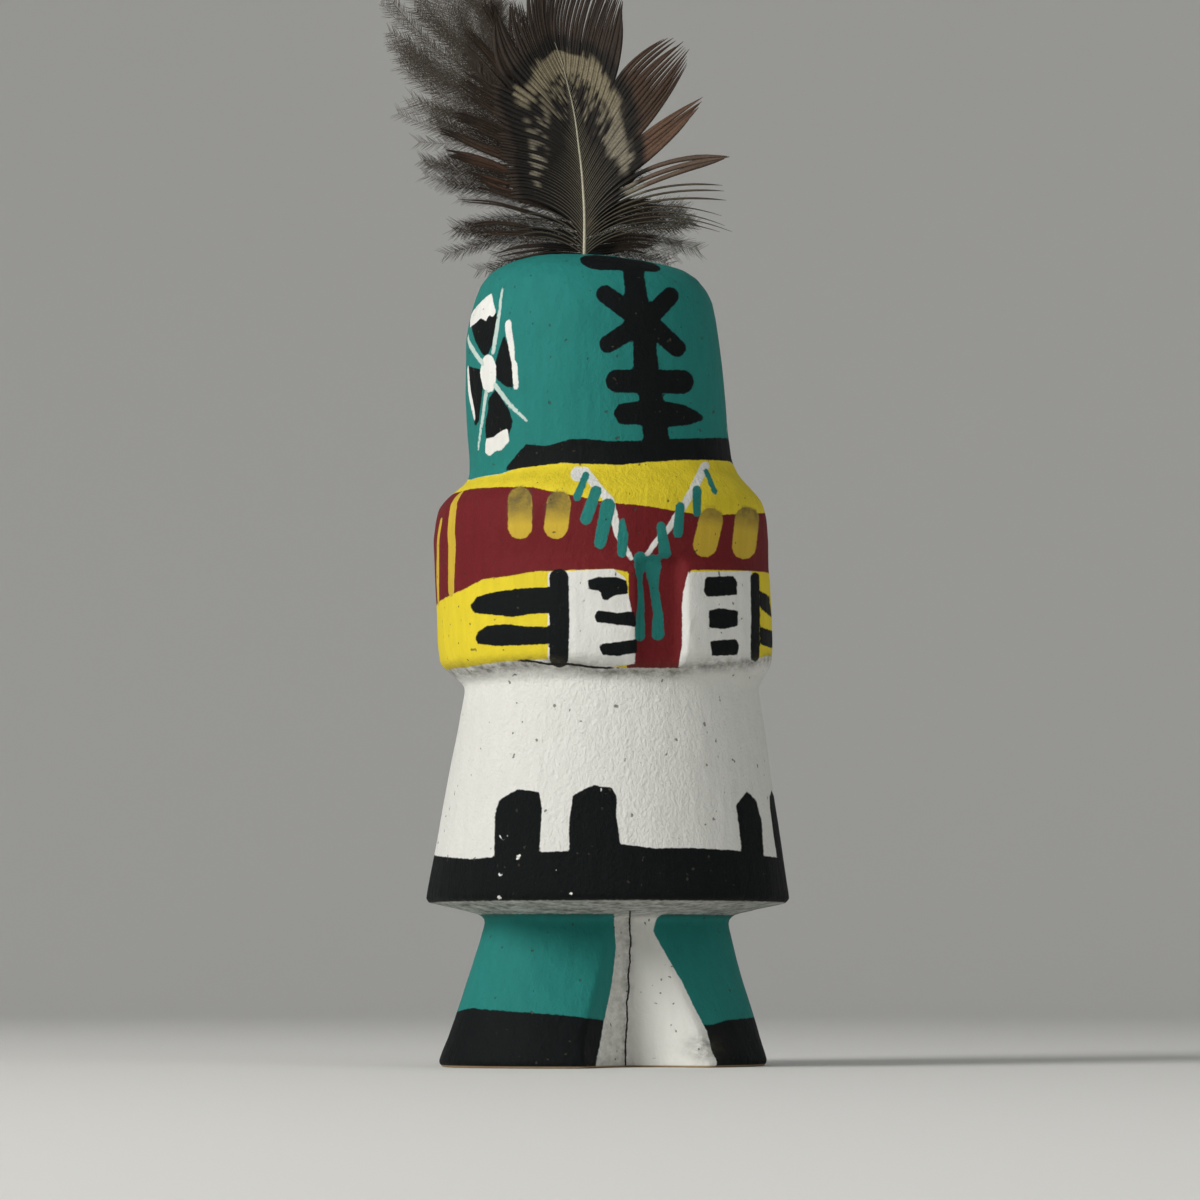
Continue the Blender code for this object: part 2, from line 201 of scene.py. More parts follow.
carving = merged_copy("body", "carving")
skin = carving.modifiers.new("skin", "REMESH")
skin.mode = "VOXEL"
skin.voxel_size = SKIN_STEP
settled(carving)
bm = bmesh.new()
bm.from_mesh(carving.data)
for _ in range(2):
    bmesh.ops.smooth_vert(
        bm, verts=bm.verts[:], factor=0.5, use_axis_x=True, use_axis_y=True, use_axis_z=True
    )
bm.to_mesh(carving.data)
bm.free()
plain_form = form_of(carving.data)
plain_spots = points_of(carving.data)

normals = np.empty(len(carving.data.vertices) * 3)
carving.data.vertices.foreach_get("normal", normals)
normals = normals.reshape(-1, 3)
lift = np.empty(len(plain_spots))
for index, (x, y, z) in enumerate(plain_spots):
    facet = noise.noise(Vector((x * FACET_ACROSS, y * FACET_ACROSS, z * FACET_UP)))
    grain = noise.noise(Vector((x * GRAIN_ACROSS, y * GRAIN_ACROSS, z * GRAIN_UP)))
    lift[index] = FACET_DEPTH * facet + GRAIN_DEPTH * grain
crown_turn = np.arctan2(plain_spots[:, 0], -plain_spots[:, 1]) - PHOTO_TURN
crown_side = np.where(np.sin(crown_turn) > 0, *CROWN_FULLNESS) * np.sin(crown_turn) ** 2
crown_ring = np.exp(-(((plain_spots[:, 2] - CROWN_HEIGHT) / CROWN_BAND) ** 2))
crown_rim = np.clip(np.hypot(plain_spots[:, 0], plain_spots[:, 1]) / CROWN_FLAT, 0, 1) ** 3
lift += crown_side * crown_ring * crown_rim
lift *= np.clip(plain_spots[:, 2] / (1.0 * MM), 0, 1)
set_points(carving.data, plain_spots + normals * lift[:, None])
carving.data.shade_smooth()
wood_form = form_of(carving.data)
seen_spots = points_of(carving.data)

# Painted patterns.
# Each colour is laid over the last with a small brush: teal, yellow, red, ochre, white, black, then beads.
# A pattern is kept as its distance from the paint's edge, so the edges stay crisp and a little wobbly.
# Corners are read where the patterns lie in the photograph's 1200 by 1200 frame.
PX = 1 / 8.97 * MM
HEAD_ROUND = 14.4 * MM
CHEST_ROUND = 18.3 * MM
KILT_ROUND = 18.6 * MM
LEG_ROUND = 14.5 * MM
FOCAL_PIXELS = LENS / 36 * PHOTO_WIDTH
LEAST_FACING = -0.12

turn_of = np.arctan2(seen_spots[:, 0], -seen_spots[:, 1])
height_of = seen_spots[:, 2]
eye_axes = np.array(eye_turn.to_matrix())


def sight(x, y):
    """The way the eye looks at a point of the photograph."""
    middle = PHOTO_WIDTH / 2
    return (eye_turn @ Vector((x - middle, middle - y, -FOCAL_PIXELS))).normalized()


def touch(x, y):
    """The point of the body at a point of the photograph, or the nearest one inside its outline."""
    for step in range(60):
        hit = wood_form.ray_cast(eye, sight(x + (604 - x) * step * 0.004, y))[0]
        if hit:
            return hit
    raise ValueError("nothing of the body shows there")


def spot(x, y):
    """The same point as its turn round the body and its height."""
    hit = touch(x, y)
    return (math.atan2(hit.x, -hit.y), hit.z)


def outline_distance(corners, here):
    """How far points lie outside a closed outline; inside is negative."""
    corners = np.array(corners, dtype=float)
    nearest = np.full(len(here), np.inf)
    inside = np.zeros(len(here), dtype=bool)
    for a, b in zip(corners, np.roll(corners, -1, axis=0)):
        run = b - a
        along = np.clip(((here - a) @ run) / max(run @ run, 1e-18), 0, 1)
        nearest = np.minimum(nearest, np.linalg.norm(here - a - along[:, None] * run, axis=1))
        level = (a[1] > here[:, 1]) != (b[1] > here[:, 1])
        rise = b[1] - a[1] if b[1] != a[1] else 1e-12
        inside ^= level & (here[:, 0] < (here[:, 1] - a[1]) / rise * run[0] + a[0])
    return np.where(inside, -nearest, nearest)


def path_distance(path, widths, here):
    """How far points lie outside a brush stroke as wide as one or more widths say along its path."""
    path = np.array(path, dtype=float)
    halves = np.interp(np.linspace(0, 1, len(path)), np.linspace(0, 1, len(widths)), widths) / 2
    nearest = np.full(len(here), np.inf)
    for a, b, start_half, end_half in zip(path, path[1:], halves, halves[1:]):
        run = b - a
        gap = here - a
        along = np.clip((gap @ run) / max(run @ run, 1e-18), 0, 1)
        far = np.linalg.norm(gap - along[:, None] * run, axis=1)
        nearest = np.minimum(nearest, far - start_half - (end_half - start_half) * along)
    return nearest


# Where the body's points show in the photograph, and which of them face the eye.
gap = (seen_spots - np.array(eye)) @ eye_axes
middle = PHOTO_WIDTH / 2
places = np.stack(
    [middle - FOCAL_PIXELS * gap[:, 0] / gap[:, 2], middle + FOCAL_PIXELS * gap[:, 1] / gap[:, 2]], 1
)
way = np.array(eye) - seen_spots
facing = (way * normals).sum(axis=1) / np.linalg.norm(way, axis=1) > LEAST_FACING


def patch(pixels):
    """A painted shape with the given corners."""
    return np.where(facing, outline_distance(pixels, places) * PX, 1.0)


def stroke(pixels, widths):
    """A brush stroke through points of the photograph, its widths in pixels."""
    return np.where(facing, path_distance(pixels, widths, places) * PX, 1.0)


def unrolled(pixels, radius, hand):
    """Points of the photograph as places on the body unrolled flat, or on its other side."""
    return [(spot(*pixel)[0] * radius * hand, spot(*pixel)[1]) for pixel in pixels]


def side_patch(pixels, radius):
    """A painted shape near the edge of what the photograph shows, with its twin on the other side."""
    here = np.stack([turn_of * radius, height_of], axis=1)
    return together(*[outline_distance(unrolled(pixels, radius, hand), here) for hand in (1, -1)])


def side_stroke(pixels, widths, radius):
    """A brush stroke near that edge, with its twin on the other side, its widths in millimetres."""
    here = np.stack([turn_of * radius, height_of], axis=1)
    widths = np.array(widths) * MM
    return together(*[path_distance(unrolled(pixels, radius, hand), widths, here) for hand in (1, -1)])


def crown_stroke(pixels, widths):
    """A brush stroke that bends over the top of the head, its widths in millimetres."""
    return path_distance([touch(*pixel) for pixel in pixels], np.array(widths) * MM, seen_spots)


def round_patch(shape, radius):
    """A painted shape given by turns and heights, for the sides that the photograph doesn't show."""
    here = np.stack([turn_of * radius, height_of], axis=1)
    return outline_distance([(turn * radius, height) for turn, height in shape], here)


def level_line(pixels, ends):
    """A height for each point of the body, along a line seen in front and closed behind by its ends."""
    seen = [spot(*pixel) for pixel in pixels]
    marks = sorted(seen + [(math.radians(turn), height * MM) for turn, height in ends])
    return np.interp(turn_of, [turn for turn, _ in marks], [height for _, height in marks])


def together(*shapes):
    return np.minimum.reduce(shapes)


# Head: teal down to the chin and the shoulders.
CHIN_LINE = (
    (471, 480), (501, 474), (530, 464), (562, 462), (583, 463), (620, 464), (664, 460), (693, 459),
    (728, 460),
)
chin_line = level_line(CHIN_LINE, ((-180, 65.6), (-120, 65.4), (85, 65.6), (120, 65.4), (180, 65.6)))
head_teal = chin_line - height_of

# Legs: teal outside the white groove, whose two edges run from the ankles down to the floor.
RIGHT_LEG = (
    (614, 921), (616, 947), (612, 982), (604, 1020), (596, 1062),
)
LEFT_LEG = (
    (656, 921), (653, 931), (668, 958), (681, 980), (695, 1009), (707, 1031), (712, 1052), (717, 1062),
)
LEG_TOP = 16.7 * MM
right_turn, left_turn = [
    np.interp(height_of, *np.array([spot(*pixel)[::-1] for pixel in edge[::-1]]).T)
    for edge in (RIGHT_LEG, LEFT_LEG)
]
BACK_LEG_TURN = math.radians(163)
groove_white = np.minimum(turn_of - right_turn, left_turn - turn_of) * LEG_ROUND * 0.8
back_white = (np.abs(turn_of) - BACK_LEG_TURN) * LEG_ROUND * 0.7
leg_outside = np.maximum(groove_white, back_white)
leg_teal = np.maximum(leg_outside, height_of - LEG_TOP)
teal = together(head_teal, leg_teal)

# Chest and forearms: yellow below the chin, with the red shirt over it and down between the hands.
ARM_FOOT = (
    (441, 670), (470, 667), (494, 663), (524, 660), (549, 659), (570, 662), (603, 667), (635, 668),
    (680, 668), (700, 662), (749, 660), (768, 655),
)
arm_foot = level_line(ARM_FOOT, ((-180, 44.4), (-130, 44.4), (75, 45.2), (110, 44.4), (180, 44.4)))
yellow = np.maximum(height_of - chin_line, arm_foot - height_of)

COLLAR = (
    (463, 491), (471, 489), (501, 487), (532, 487), (546, 490), (562, 494), (572, 495), (611, 503),
    (640, 505), (676, 511), (701, 515), (717, 515), (766, 513),
)
collar_line = level_line(COLLAR, ((-180, 62.6), (-130, 63.4), (75, 61.4), (110, 62.6), (180, 62.6)))
ARM_TOP = (
    (438, 603), (447, 597), (463, 590), (484, 579), (510, 576), (537, 571), (549, 571), (613, 569),
    (632, 573), (684, 573), (692, 570), (749, 571), (770, 573),
)
ARM_TOP_ENDS = ((-180, 50.6), (-128, 50.6), (72, 54.6), (95, 52.4), (113, 51.0), (180, 50.6))
arm_line = level_line(ARM_TOP, ARM_TOP_ENDS)
shirt = np.maximum(height_of - collar_line, arm_line - height_of)
GAP_LEFT = (635, 620)
GAP_RIGHT = (681, 620)
GAP_MARGIN = 0.7 * MM
gap_left = spot(*GAP_LEFT)[0]
gap_right = spot(*GAP_RIGHT)[0]
gap_middle = (gap_left + gap_right) / 2
gap_half = (gap_right - gap_left) / 2 + GAP_MARGIN / CHEST_ROUND
gap = (np.abs(turn_of - gap_middle) - gap_half) * CHEST_ROUND
gap = np.maximum(gap, np.maximum(arm_foot - height_of, height_of - arm_line - 1 * MM))
ELBOW_TURN = math.radians(124)
elbow_end = ELBOW_TURN - 0.13 * ((height_of - 47.6 * MM) / (3.2 * MM)) ** 2
back_shirt = np.maximum((elbow_end - np.abs(turn_of)) * CHEST_ROUND, arm_foot - height_of)
back_shirt = np.maximum(back_shirt, height_of - arm_line - 2 * MM)
red = together(shirt, gap, back_shirt)

# Sleeve stripes and chest tabs in ochre.
SLEEVE = ((458, 496), (453, 510), (452, 545), (451, 590))
OUTER_SLEEVE = ((441, 522), (438, 545), (438, 600))
TABS = (
    ((520, 499), (520, 527)),
    ((559, 503), (556, 527)),
    ((711, 520), (705, 545)),
    ((747, 519), (744, 547)),
)
tab_strokes = [stroke(tab, [24, 24]) for tab in TABS]
ochre = together(
    side_stroke(SLEEVE, [1.3, 1.9, 1.5], CHEST_ROUND),
    side_stroke(OUTER_SLEEVE, [1.0, 1.3], CHEST_ROUND),
    *tab_strokes
)

# Hands in white, and the necklace's cord.
RIGHT_HAND = (
    (548, 572), (613, 569), (625, 577), (628, 593), (632, 611), (635, 627), (635, 664), (603, 668),
    (548, 663),
)
LEFT_HAND = (
    (688, 572), (752, 571), (752, 662), (703, 668), (678, 668), (682, 647), (682, 606), (683, 593),
)
CORD_END = ((578, 474), (579, 474))
CORD_RIGHT = ((578, 473), (585, 471), (598, 488), (610, 501), (615, 520), (617, 533), (631, 558))
CORD_LEFT = ((705, 466), (698, 480), (693, 490), (684, 505), (674, 520), (668, 530), (658, 539), (646, 556))
white = together(
    patch(RIGHT_HAND), patch(LEFT_HAND), stroke(CORD_END, [15, 15]),
    stroke(CORD_RIGHT, [9, 9, 8, 5]), stroke(CORD_LEFT, [9, 8, 6, 5])
)

# Black: face, chin band, wrists, fingers, forearm bars, kilt blocks, hem and shoes.
FACE_TOP = ((600, 260), (615, 261), (630, 262), (645, 264))
FACE_POST = (
    (622, 262), (625, 293), (626, 318), (633, 340), (633.5, 369), (639, 397), (644, 445), (670, 445),
    (668, 430), (663.5, 399), (659, 369), (656, 344), (655, 320), (648, 299), (642, 262),
)
FACE_CROSS = (
    ((605, 294), (643, 322)),
    ((670, 296), (643, 324)),
    ((608, 344), (643, 322)),
    ((677, 348), (646, 320)),
)
FACE_BAR = ((617, 381), (682, 382))
MOUTH_BAR = (
    (613, 413), (618, 404), (640, 401), (664, 401), (685, 405), (698, 412), (706, 419), (689, 425),
    (669, 427), (640, 425), (619, 424),
)
CHIN_BAND = (
    (507, 466), (526, 444), (542, 446), (550, 445), (571, 439), (587, 439), (607, 441), (644, 441),
    (671, 439), (705, 438), (727, 438),
)
CHIN_BAND_FOOT = (
    (727, 461), (693, 460), (664, 461), (620, 465), (583, 464), (562, 463), (538, 466), (505, 471),
)
band_end = [(math.radians(74), 69.2 * MM), (math.radians(77), 67.8 * MM), (math.radians(73), 67.0 * MM)]
chin_band = [spot(*pixel) for pixel in CHIN_BAND] + band_end + [spot(*pixel) for pixel in CHIN_BAND_FOOT]
face = together(
    crown_stroke(FACE_TOP, [4.4, 4.2, 3.6]), patch(FACE_POST),
    *[stroke(arm, [18, 20]) for arm in FACE_CROSS],
    stroke(FACE_BAR, [23, 26, 24]), patch(MOUTH_BAR), round_patch(chin_band, HEAD_ROUND)
)

PETALS = (
    (
        (471.6, 326), (479, 317), (491, 312), (497, 312), (496, 331), (492, 346), (487, 357),
        (482, 354), (475, 340),
    ),
    ((495, 364), (499, 349), (504, 335), (509, 346), (514, 363), (513, 388), (507, 387), (496, 379)),
    ((488, 400), (496, 389), (509, 410), (513, 422), (509, 435), (486, 440), (485, 425), (488, 410)),
    ((468, 366), (480, 369), (483, 387), (479, 422), (475, 427), (471, 399)),
)
petals = together(*[side_patch(petal, HEAD_ROUND) for petal in PETALS])

UPPER_ARM_BAR = (
    (470, 606), (477, 597), (486, 594), (500, 591), (524, 588), (552, 587), (552, 613), (532, 614),
    (513, 617), (494, 615), (474, 613),
)
LOWER_ARM_BAR = (
    (475, 639), (478, 632), (486, 626), (505, 624), (524, 626), (552, 627), (552, 644), (497, 646),
    (478, 644),
)
RIGHT_WRIST = ((559, 578), (559.5, 620), (559, 658))
LEFT_WRIST = ((755, 577), (755.5, 620), (755, 657))
RIGHT_FINGERS = (
    (
        (588, 580), (597, 577), (617, 577), (626, 580), (629, 594), (615, 595), (608, 600), (603, 600),
        (600, 591), (588, 589),
    ),
    ((595, 616), (597, 610), (617, 613), (634, 611), (637, 627), (611, 624), (596, 622)),
    ((599, 648), (600, 644), (617, 642), (637, 639), (637, 653), (617, 656), (603, 655)),
)
LEFT_FINGERS = (
    ((705, 577), (733, 576), (737, 580), (737, 595), (707, 597), (704, 592)),
    ((709, 610), (722, 608), (738, 611), (738, 626), (724, 629), (709, 628)),
    ((710, 641), (736, 639), (739, 644), (738, 655), (712, 656)),
)
LEFT_ARM_BARS = (
    ((759, 590), (769, 596), (772, 618), (759, 607)),
    ((760, 627), (773, 631), (773, 649), (760, 644)),
)
arms = together(
    patch(UPPER_ARM_BAR), patch(LOWER_ARM_BAR), stroke(RIGHT_WRIST, [19, 20, 19]),
    stroke(LEFT_WRIST, [9, 9]), *[patch(finger) for finger in RIGHT_FINGERS + LEFT_FINGERS],
    *[patch(bar) for bar in LEFT_ARM_BARS]
)

HEM_TOP = (
    (433, 855), (472, 859), (494, 857), (539, 852), (569, 851), (621, 844), (652, 848), (695, 848),
    (742, 851), (764, 856), (783, 859),
)
hem_line = level_line(HEM_TOP, ((-180, 23.9), (-140, 24.2), (80, 23.4), (130, 23.9), (180, 23.9)))
HEM_FOOT = 18.0 * MM
hem = np.maximum(height_of - hem_line, HEM_FOOT - height_of)
BLOCKS = (
    ((494, 858), (495, 814), (499, 800), (518, 789), (539, 792), (542, 808), (539, 858)),
    ((569, 856), (569, 822), (573, 795), (593, 785), (612, 788), (617, 797), (616, 814), (621, 850)),
    ((742, 856), (739, 827), (736, 805), (747, 791), (756, 800), (762, 822), (764, 859)),
)
blocks = [patch(block) for block in BLOCKS]
HIDDEN_BLOCKS = ((57, 4.6), (86, 5.2), (109, 5.0), (139, 5.4), (163, 5.0), (-132, 5.0), (-166, 5.2))
for turn, width in HIDDEN_BLOCKS:
    half = width / 2 * MM / KILT_ROUND
    middle = math.radians(turn)
    outline = [
        (middle - half, 22 * MM), (middle - half, 28.2 * MM), (middle - half * 0.7, 29.7 * MM),
        (middle, 30.4 * MM),
        (middle + half * 0.8, 29.8 * MM), (middle + half, 28 * MM), (middle + half, 22 * MM),
    ]
    blocks.append(round_patch(outline, KILT_ROUND))

SHOE_TOP = (
    (448, 1012), (456, 1010), (472, 1008), (534, 1013), (571, 1016), (602, 1020), (711, 1025), (727, 1020),
    (758, 1017),
)
shoe_line = level_line(SHOE_TOP, ((-180, 5.4), (-130, 5.8), (80, 5.3), (130, 5.6), (180, 5.4)))
shoes = np.maximum(leg_outside, height_of - shoe_line)
black = together(face, petals, arms, hem, shoes, *blocks)

# Turquoise beads and pendant over the cord.
BEADS = (
    (((586, 475), (577, 497)), [7, 8]), (((596, 491), (586, 519)), [11, 12]),
    (((608, 506), (600, 543)), [15, 12]), (((622, 520), (623, 536), (622, 553)), [5, 11, 9]),
    (((706, 471), (715, 492)), [5, 5]), (((697, 490), (697, 513)), [9, 8]),
    (((680, 506), (678, 533)), [9, 10]), (((661, 526), (665, 553)), [9, 12]),
    (((640, 558), (641, 568)), [13, 10]), (((653, 562), (655, 568)), [15, 13]),
    (((639, 566), (640, 581), (641, 597), (640, 636)), [9, 5, 6, 10]),
    (((653, 569), (654, 589), (658, 614), (658, 634)), [14, 9, 10, 13]),
)
beads = together(*[stroke(path, widths) for path, widths in BEADS])

# Last touches in white: the flower's middle, petal tips and fine lines.
FLOWER_TIPS = (
    (
        (470, 328), (471, 316), (481, 302), (492, 293), (496, 312), (493, 317), (489, 315), (486, 321),
        (481, 318), (476, 323),
    ),
    (
        (486, 439), (494, 437), (500, 432), (508, 428), (509, 442), (505, 446), (502, 450), (496, 451),
        (489, 457), (485, 452),
    ),
    (
        (480, 374), (483, 358), (488, 354), (493, 357), (496, 366), (496, 380), (493, 391), (488, 393),
        (483, 388),
    ),
)
FLOWER_STROKES = (
    (((508, 324), (511, 345), (513, 361)), [0.95, 0.8, 0.5]),
    (((514.5, 365), (516, 387)), [0.75, 0.65]),
    (((468, 369), (470.5, 398), (474.5, 418)), [0.8, 0.9, 0.6]),
)
FLOWER_LINES = (
    (((503, 288), (499.5, 311), (496.6, 331), (493, 352)), [0.35, 0.6, 0.65]),
    (((468, 337), (474, 351), (483, 364)), [0.7, 0.7, 0.55]),
    (((486, 393), (482, 422), (478, 449)), [0.7, 0.6, 0.45]),
    (((495, 385), (510, 405), (527, 421)), [0.6, 0.5, 0.3]),
)
touches = together(
    *[side_patch(tip, HEAD_ROUND) for tip in FLOWER_TIPS],
    *[side_stroke(path, widths, HEAD_ROUND) for path, widths in FLOWER_STROKES]
)
fine_lines = together(*[side_stroke(path, widths, HEAD_ROUND) for path, widths in FLOWER_LINES])

# Cracks in the wood, one down the front groove and one under the right hand, and pinholes in the black.
FOOT_CRACK = (
    (630, 914), (629.5, 928), (631, 942), (629.5, 951), (630, 962), (628, 975), (629, 988), (626.5, 1004),
    (627.5, 1020), (625.5, 1040), (625.5, 1062),
)
CRACK_TOP = 911
CRACK_ENDS = (520, 612)
CRACK_REACH = 1.5 * MM
HAND_CRACK = ((500, 660), (530, 661), (548, 664), (570, 664), (590, 667), (604, 668))
PINHOLES = (
    (500, 874, 4), (504, 868, 2.5), (519, 856, 4), (516, 858, 2), (503, 839, 2.5), (500, 836, 2),
    (507, 835, 1.8), (499, 897, 4), (571, 893, 3), (600, 789, 4), (520, 896, 1.5), (556, 870, 1.5),
    (706, 880, 1.6),
)
holes = together(*[stroke(((x, y), (x + 0.6, y + 0.8)), [size]) for x, y, size in PINHOLES])
crack_x, crack_y = np.array(FOOT_CRACK).T
foot_crack = (places[:, 0] - np.interp(places[:, 1], crack_y, crack_x)) * PX
foot_cracked = facing & (places[:, 1] > CRACK_TOP) & (height_of < LEG_TOP + 0.8 * MM)
foot_cracked = foot_cracked & (np.abs(foot_crack) < CRACK_REACH)
crack_x, crack_y = np.array(HAND_CRACK).T
hand_crack = (places[:, 1] - np.interp(places[:, 0], crack_x, crack_y)) * PX
hand_cracked = facing & (places[:, 0] > CRACK_ENDS[0]) & (places[:, 0] < CRACK_ENDS[1])
hand_cracked = hand_cracked & (np.abs(hand_crack) < CRACK_REACH)

# Dirt and painted shade: dirt on the tabs' upper halves and on the left shoe, dirt with painted shade under
# the forearms, and painted shade under the hem, on the groove's left face and along its crack.
TAB_DIRT_FOOT = 58.6 * MM
HEM_SHADE = (16.2 * MM, 18.3 * MM)
ARM_DIRT_AND_SHADE_TURN = 2.1
GROOVE_TOP = 16.6 * MM
SHOE_WEAR = (704, 1048)
SHOE_WEAR_SIZE = (17, 13)
tab_dirt = together(*tab_strokes)
tab_rise = np.clip((height_of - TAB_DIRT_FOOT) / (2.6 * MM), 0, 1)
# Painted shade on the hem's underside, a grey band between 16.2 and 18.3 mm up.
hem_shade = np.clip((HEM_SHADE[1] - height_of) / (0.5 * MM), 0, 1)
hem_shade = hem_shade * np.clip((height_of - HEM_SHADE[0]) / (0.6 * MM), 0, 1)
# Under the forearms: grey dirt with painted shade, in a band just below the yellow's lower edge.
arm_dirt_and_shade = np.exp(-((height_of - arm_foot + 0.4 * MM) / (0.7 * MM)) ** 2) * (np.abs(turn_of) < ARM_DIRT_AND_SHADE_TURN)
worn = (places - np.array(SHOE_WEAR)) / np.array(SHOE_WEAR_SIZE)
shoe_wear = facing * np.exp(-(worn[:, 0] ** 2) - worn[:, 1] ** 2)
# Painted shade on the groove's left face, which turns away from the window, and in a narrow band along its
# crack.
below_hem = facing * (height_of < GROOVE_TOP)
groove_shade = below_hem * (foot_crack < 0) * (teal > 0) * 0.45
groove_shade = groove_shade + below_hem * np.exp(-((foot_crack / (0.5 * MM)) ** 2)) * 0.35
dirt_and_shade = tab_rise * (tab_dirt < 0.1 * MM) * 0.9 + arm_dirt_and_shade + hem_shade + shoe_wear + groove_shade
dirt_and_shade = np.clip(dirt_and_shade, 0, 1)


def keep(mesh, name, values):
    layer = mesh.attributes.new(name, "FLOAT", "POINT")
    layer.data.foreach_set("value", np.asarray(values, dtype=np.float32))


for name, values in (
    ("teal", teal), ("yellow", yellow), ("red", red), ("ochre", ochre), ("white", white), ("black", black),
    ("beads", beads), ("touches", touches), ("fine_lines", fine_lines), ("foot_crack", foot_crack),
    ("hand_crack", hand_crack), ("holes", holes),
):
    keep(carving.data, name, np.clip(values / MM, -2, 2))
keep(carving.data, "dirt_and_shade", dirt_and_shade)
keep(carving.data, "cracked", foot_cracked | hand_cracked)

# How rough the wood is under the paint: the kilt and the collar were left fuzzier than the head and legs.
kilt_share = np.clip((height_of - 17 * MM) / MM, 0, 1) * np.clip((44 * MM - height_of) / MM, 0, 1)
collar_share = np.clip((height_of - collar_line) / MM, 0, 1) * np.clip((chin_line - height_of) / MM, 0, 1)
keep(carving.data, "coarse", 0.24 + 0.76 * np.maximum(kilt_share, collar_share * 0.95))


# Painted finish.
# Matt water paint brushed over a white ground, thin enough for the grain, pits and brush marks to show.
# The hidden underside of the feet is bare sawn wood.
def new_material(name, roughness):
    material = bpy.data.materials.new(name)
    material.use_nodes = True
    shader = material.node_tree.nodes["Principled BSDF"]
    shader.inputs["Roughness"].default_value = roughness
    return material, material.node_tree, shader


def add_node(tree, kind, **settings):
    item = tree.nodes.new(kind)
    for key, value in settings.items():
        setattr(item, key, value)
    return item


def fill(tree, socket, value):
    if isinstance(value, bpy.types.NodeSocket):
        tree.links.new(value, socket)
    else:
        socket.default_value = value


def figure(tree, operation, *values, clamp=False):
    item = add_node(tree, "ShaderNodeMath", operation=operation, use_clamp=clamp)
    for socket, value in zip(item.inputs, values):
        fill(tree, socket, value)
    return item.outputs[0]


def mottle(tree, scale, stretch=(1, 1, 1), detail=2.0, rough=0.5):
    """Cloudy noise from 0 to 1, about 1 / scale metres across, drawn out by a stretch along each axis."""
    place = add_node(tree, "ShaderNodeTexCoord")
    mapping = add_node(tree, "ShaderNodeMapping")
    mapping.inputs["Scale"].default_value = stretch
    tree.links.new(place.outputs["Object"], mapping.inputs["Vector"])
    cloud = add_node(tree, "ShaderNodeTexNoise")
    cloud.inputs["Scale"].default_value = scale
    cloud.inputs["Detail"].default_value = detail
    cloud.inputs["Roughness"].default_value = rough
    tree.links.new(mapping.outputs["Vector"], cloud.inputs["Vector"])
    return cloud.outputs["Fac"]


def kept(tree, name):
    return add_node(tree, "ShaderNodeAttribute", attribute_name=name).outputs["Fac"]


def blend_colour(tree, share, under, over):
    item = add_node(tree, "ShaderNodeMix", data_type="RGBA")
    fill(tree, item.inputs[0], share)
    fill(tree, item.inputs[6], under)
    fill(tree, item.inputs[7], over)
    return item.outputs[2]


PAINTS = {
    "teal": (0.019, 0.210, 0.188, 1),
    "yellow": (0.80, 0.64, 0.034, 1),
    "red": (0.160, 0.014, 0.017, 1),
    "ochre": (0.62, 0.43, 0.045, 1),
    "white": (0.80, 0.80, 0.76, 1),
    "black": (0.0040, 0.0058, 0.0064, 1),
    "beads": (0.022, 0.215, 0.190, 1),
    "touches": (0.84, 0.84, 0.80, 1),
    "fine_lines": (0.56, 0.68, 0.63, 1),
}
GROUND = (0.80, 0.80, 0.76, 1)
THIN_RED = (0.26, 0.045, 0.04, 1)
BARE_WOOD = (0.50, 0.36, 0.21, 1)
# A dark brown for dirt, for the wood's pores and for painted shade under the hem, under the forearms and in
# the groove.
DIRT_AND_SHADE = (0.060, 0.052, 0.036, 1)

painted, tree, shader = new_material("painted_wood", 0.7)
ragged = figure(tree, "SUBTRACT", mottle(tree, 1900, detail=3.0, rough=0.6), 0.5)
ragged = figure(tree, "MULTIPLY", ragged, 0.26)
brushed = mottle(tree, 420, (2.2, 2.2, 0.6), detail=4.0)
brush_share = figure(tree, "MULTIPLY_ADD", brushed, 1.6, -0.3, clamp=True)
colour = blend_colour(tree, brush_share, (0.74, 0.74, 0.70, 1), GROUND)
edge_height = None
for name, paint in PAINTS.items():
    far = figure(tree, "ADD", kept(tree, name), ragged)
    share = figure(tree, "MULTIPLY_ADD", far, -9.0, 0.5, clamp=True)
    darker = tuple(part * 0.84 for part in paint[:3]) + (1,)
    coat = blend_colour(tree, brush_share, darker, paint)
    # Dirt on the ochre tabs' upper halves.
    if name == "ochre":
        coat = blend_colour(tree, figure(tree, "MULTIPLY", kept(tree, "dirt_and_shade"), brushed), coat, DIRT_AND_SHADE)
    if name == "red":
        scuffed = mottle(tree, 260, detail=5.0, rough=0.7)
        scuffed = figure(tree, "MULTIPLY_ADD", scuffed, 3.2, -1.75, clamp=True)
        coat = blend_colour(tree, figure(tree, "MULTIPLY", scuffed, 0.3), coat, THIN_RED)
    colour = blend_colour(tree, share, colour, coat)
    ridge = figure(tree, "MULTIPLY_ADD", far, -4.0, 0.5, clamp=True)
    if name in ("yellow", "red", "black", "beads", "touches", "white"):
        step = figure(tree, "MULTIPLY", ridge, 0.028)
        edge_height = step if edge_height is None else figure(tree, "ADD", edge_height, step)

# Pinholes in the black hem, where the white ground shows.
holes = figure(tree, "ADD", kept(tree, "holes"), figure(tree, "MULTIPLY", ragged, 1.5))
holes = figure(tree, "MULTIPLY_ADD", holes, -14.0, 0.2, clamp=True)
colour = blend_colour(tree, holes, colour, GROUND)
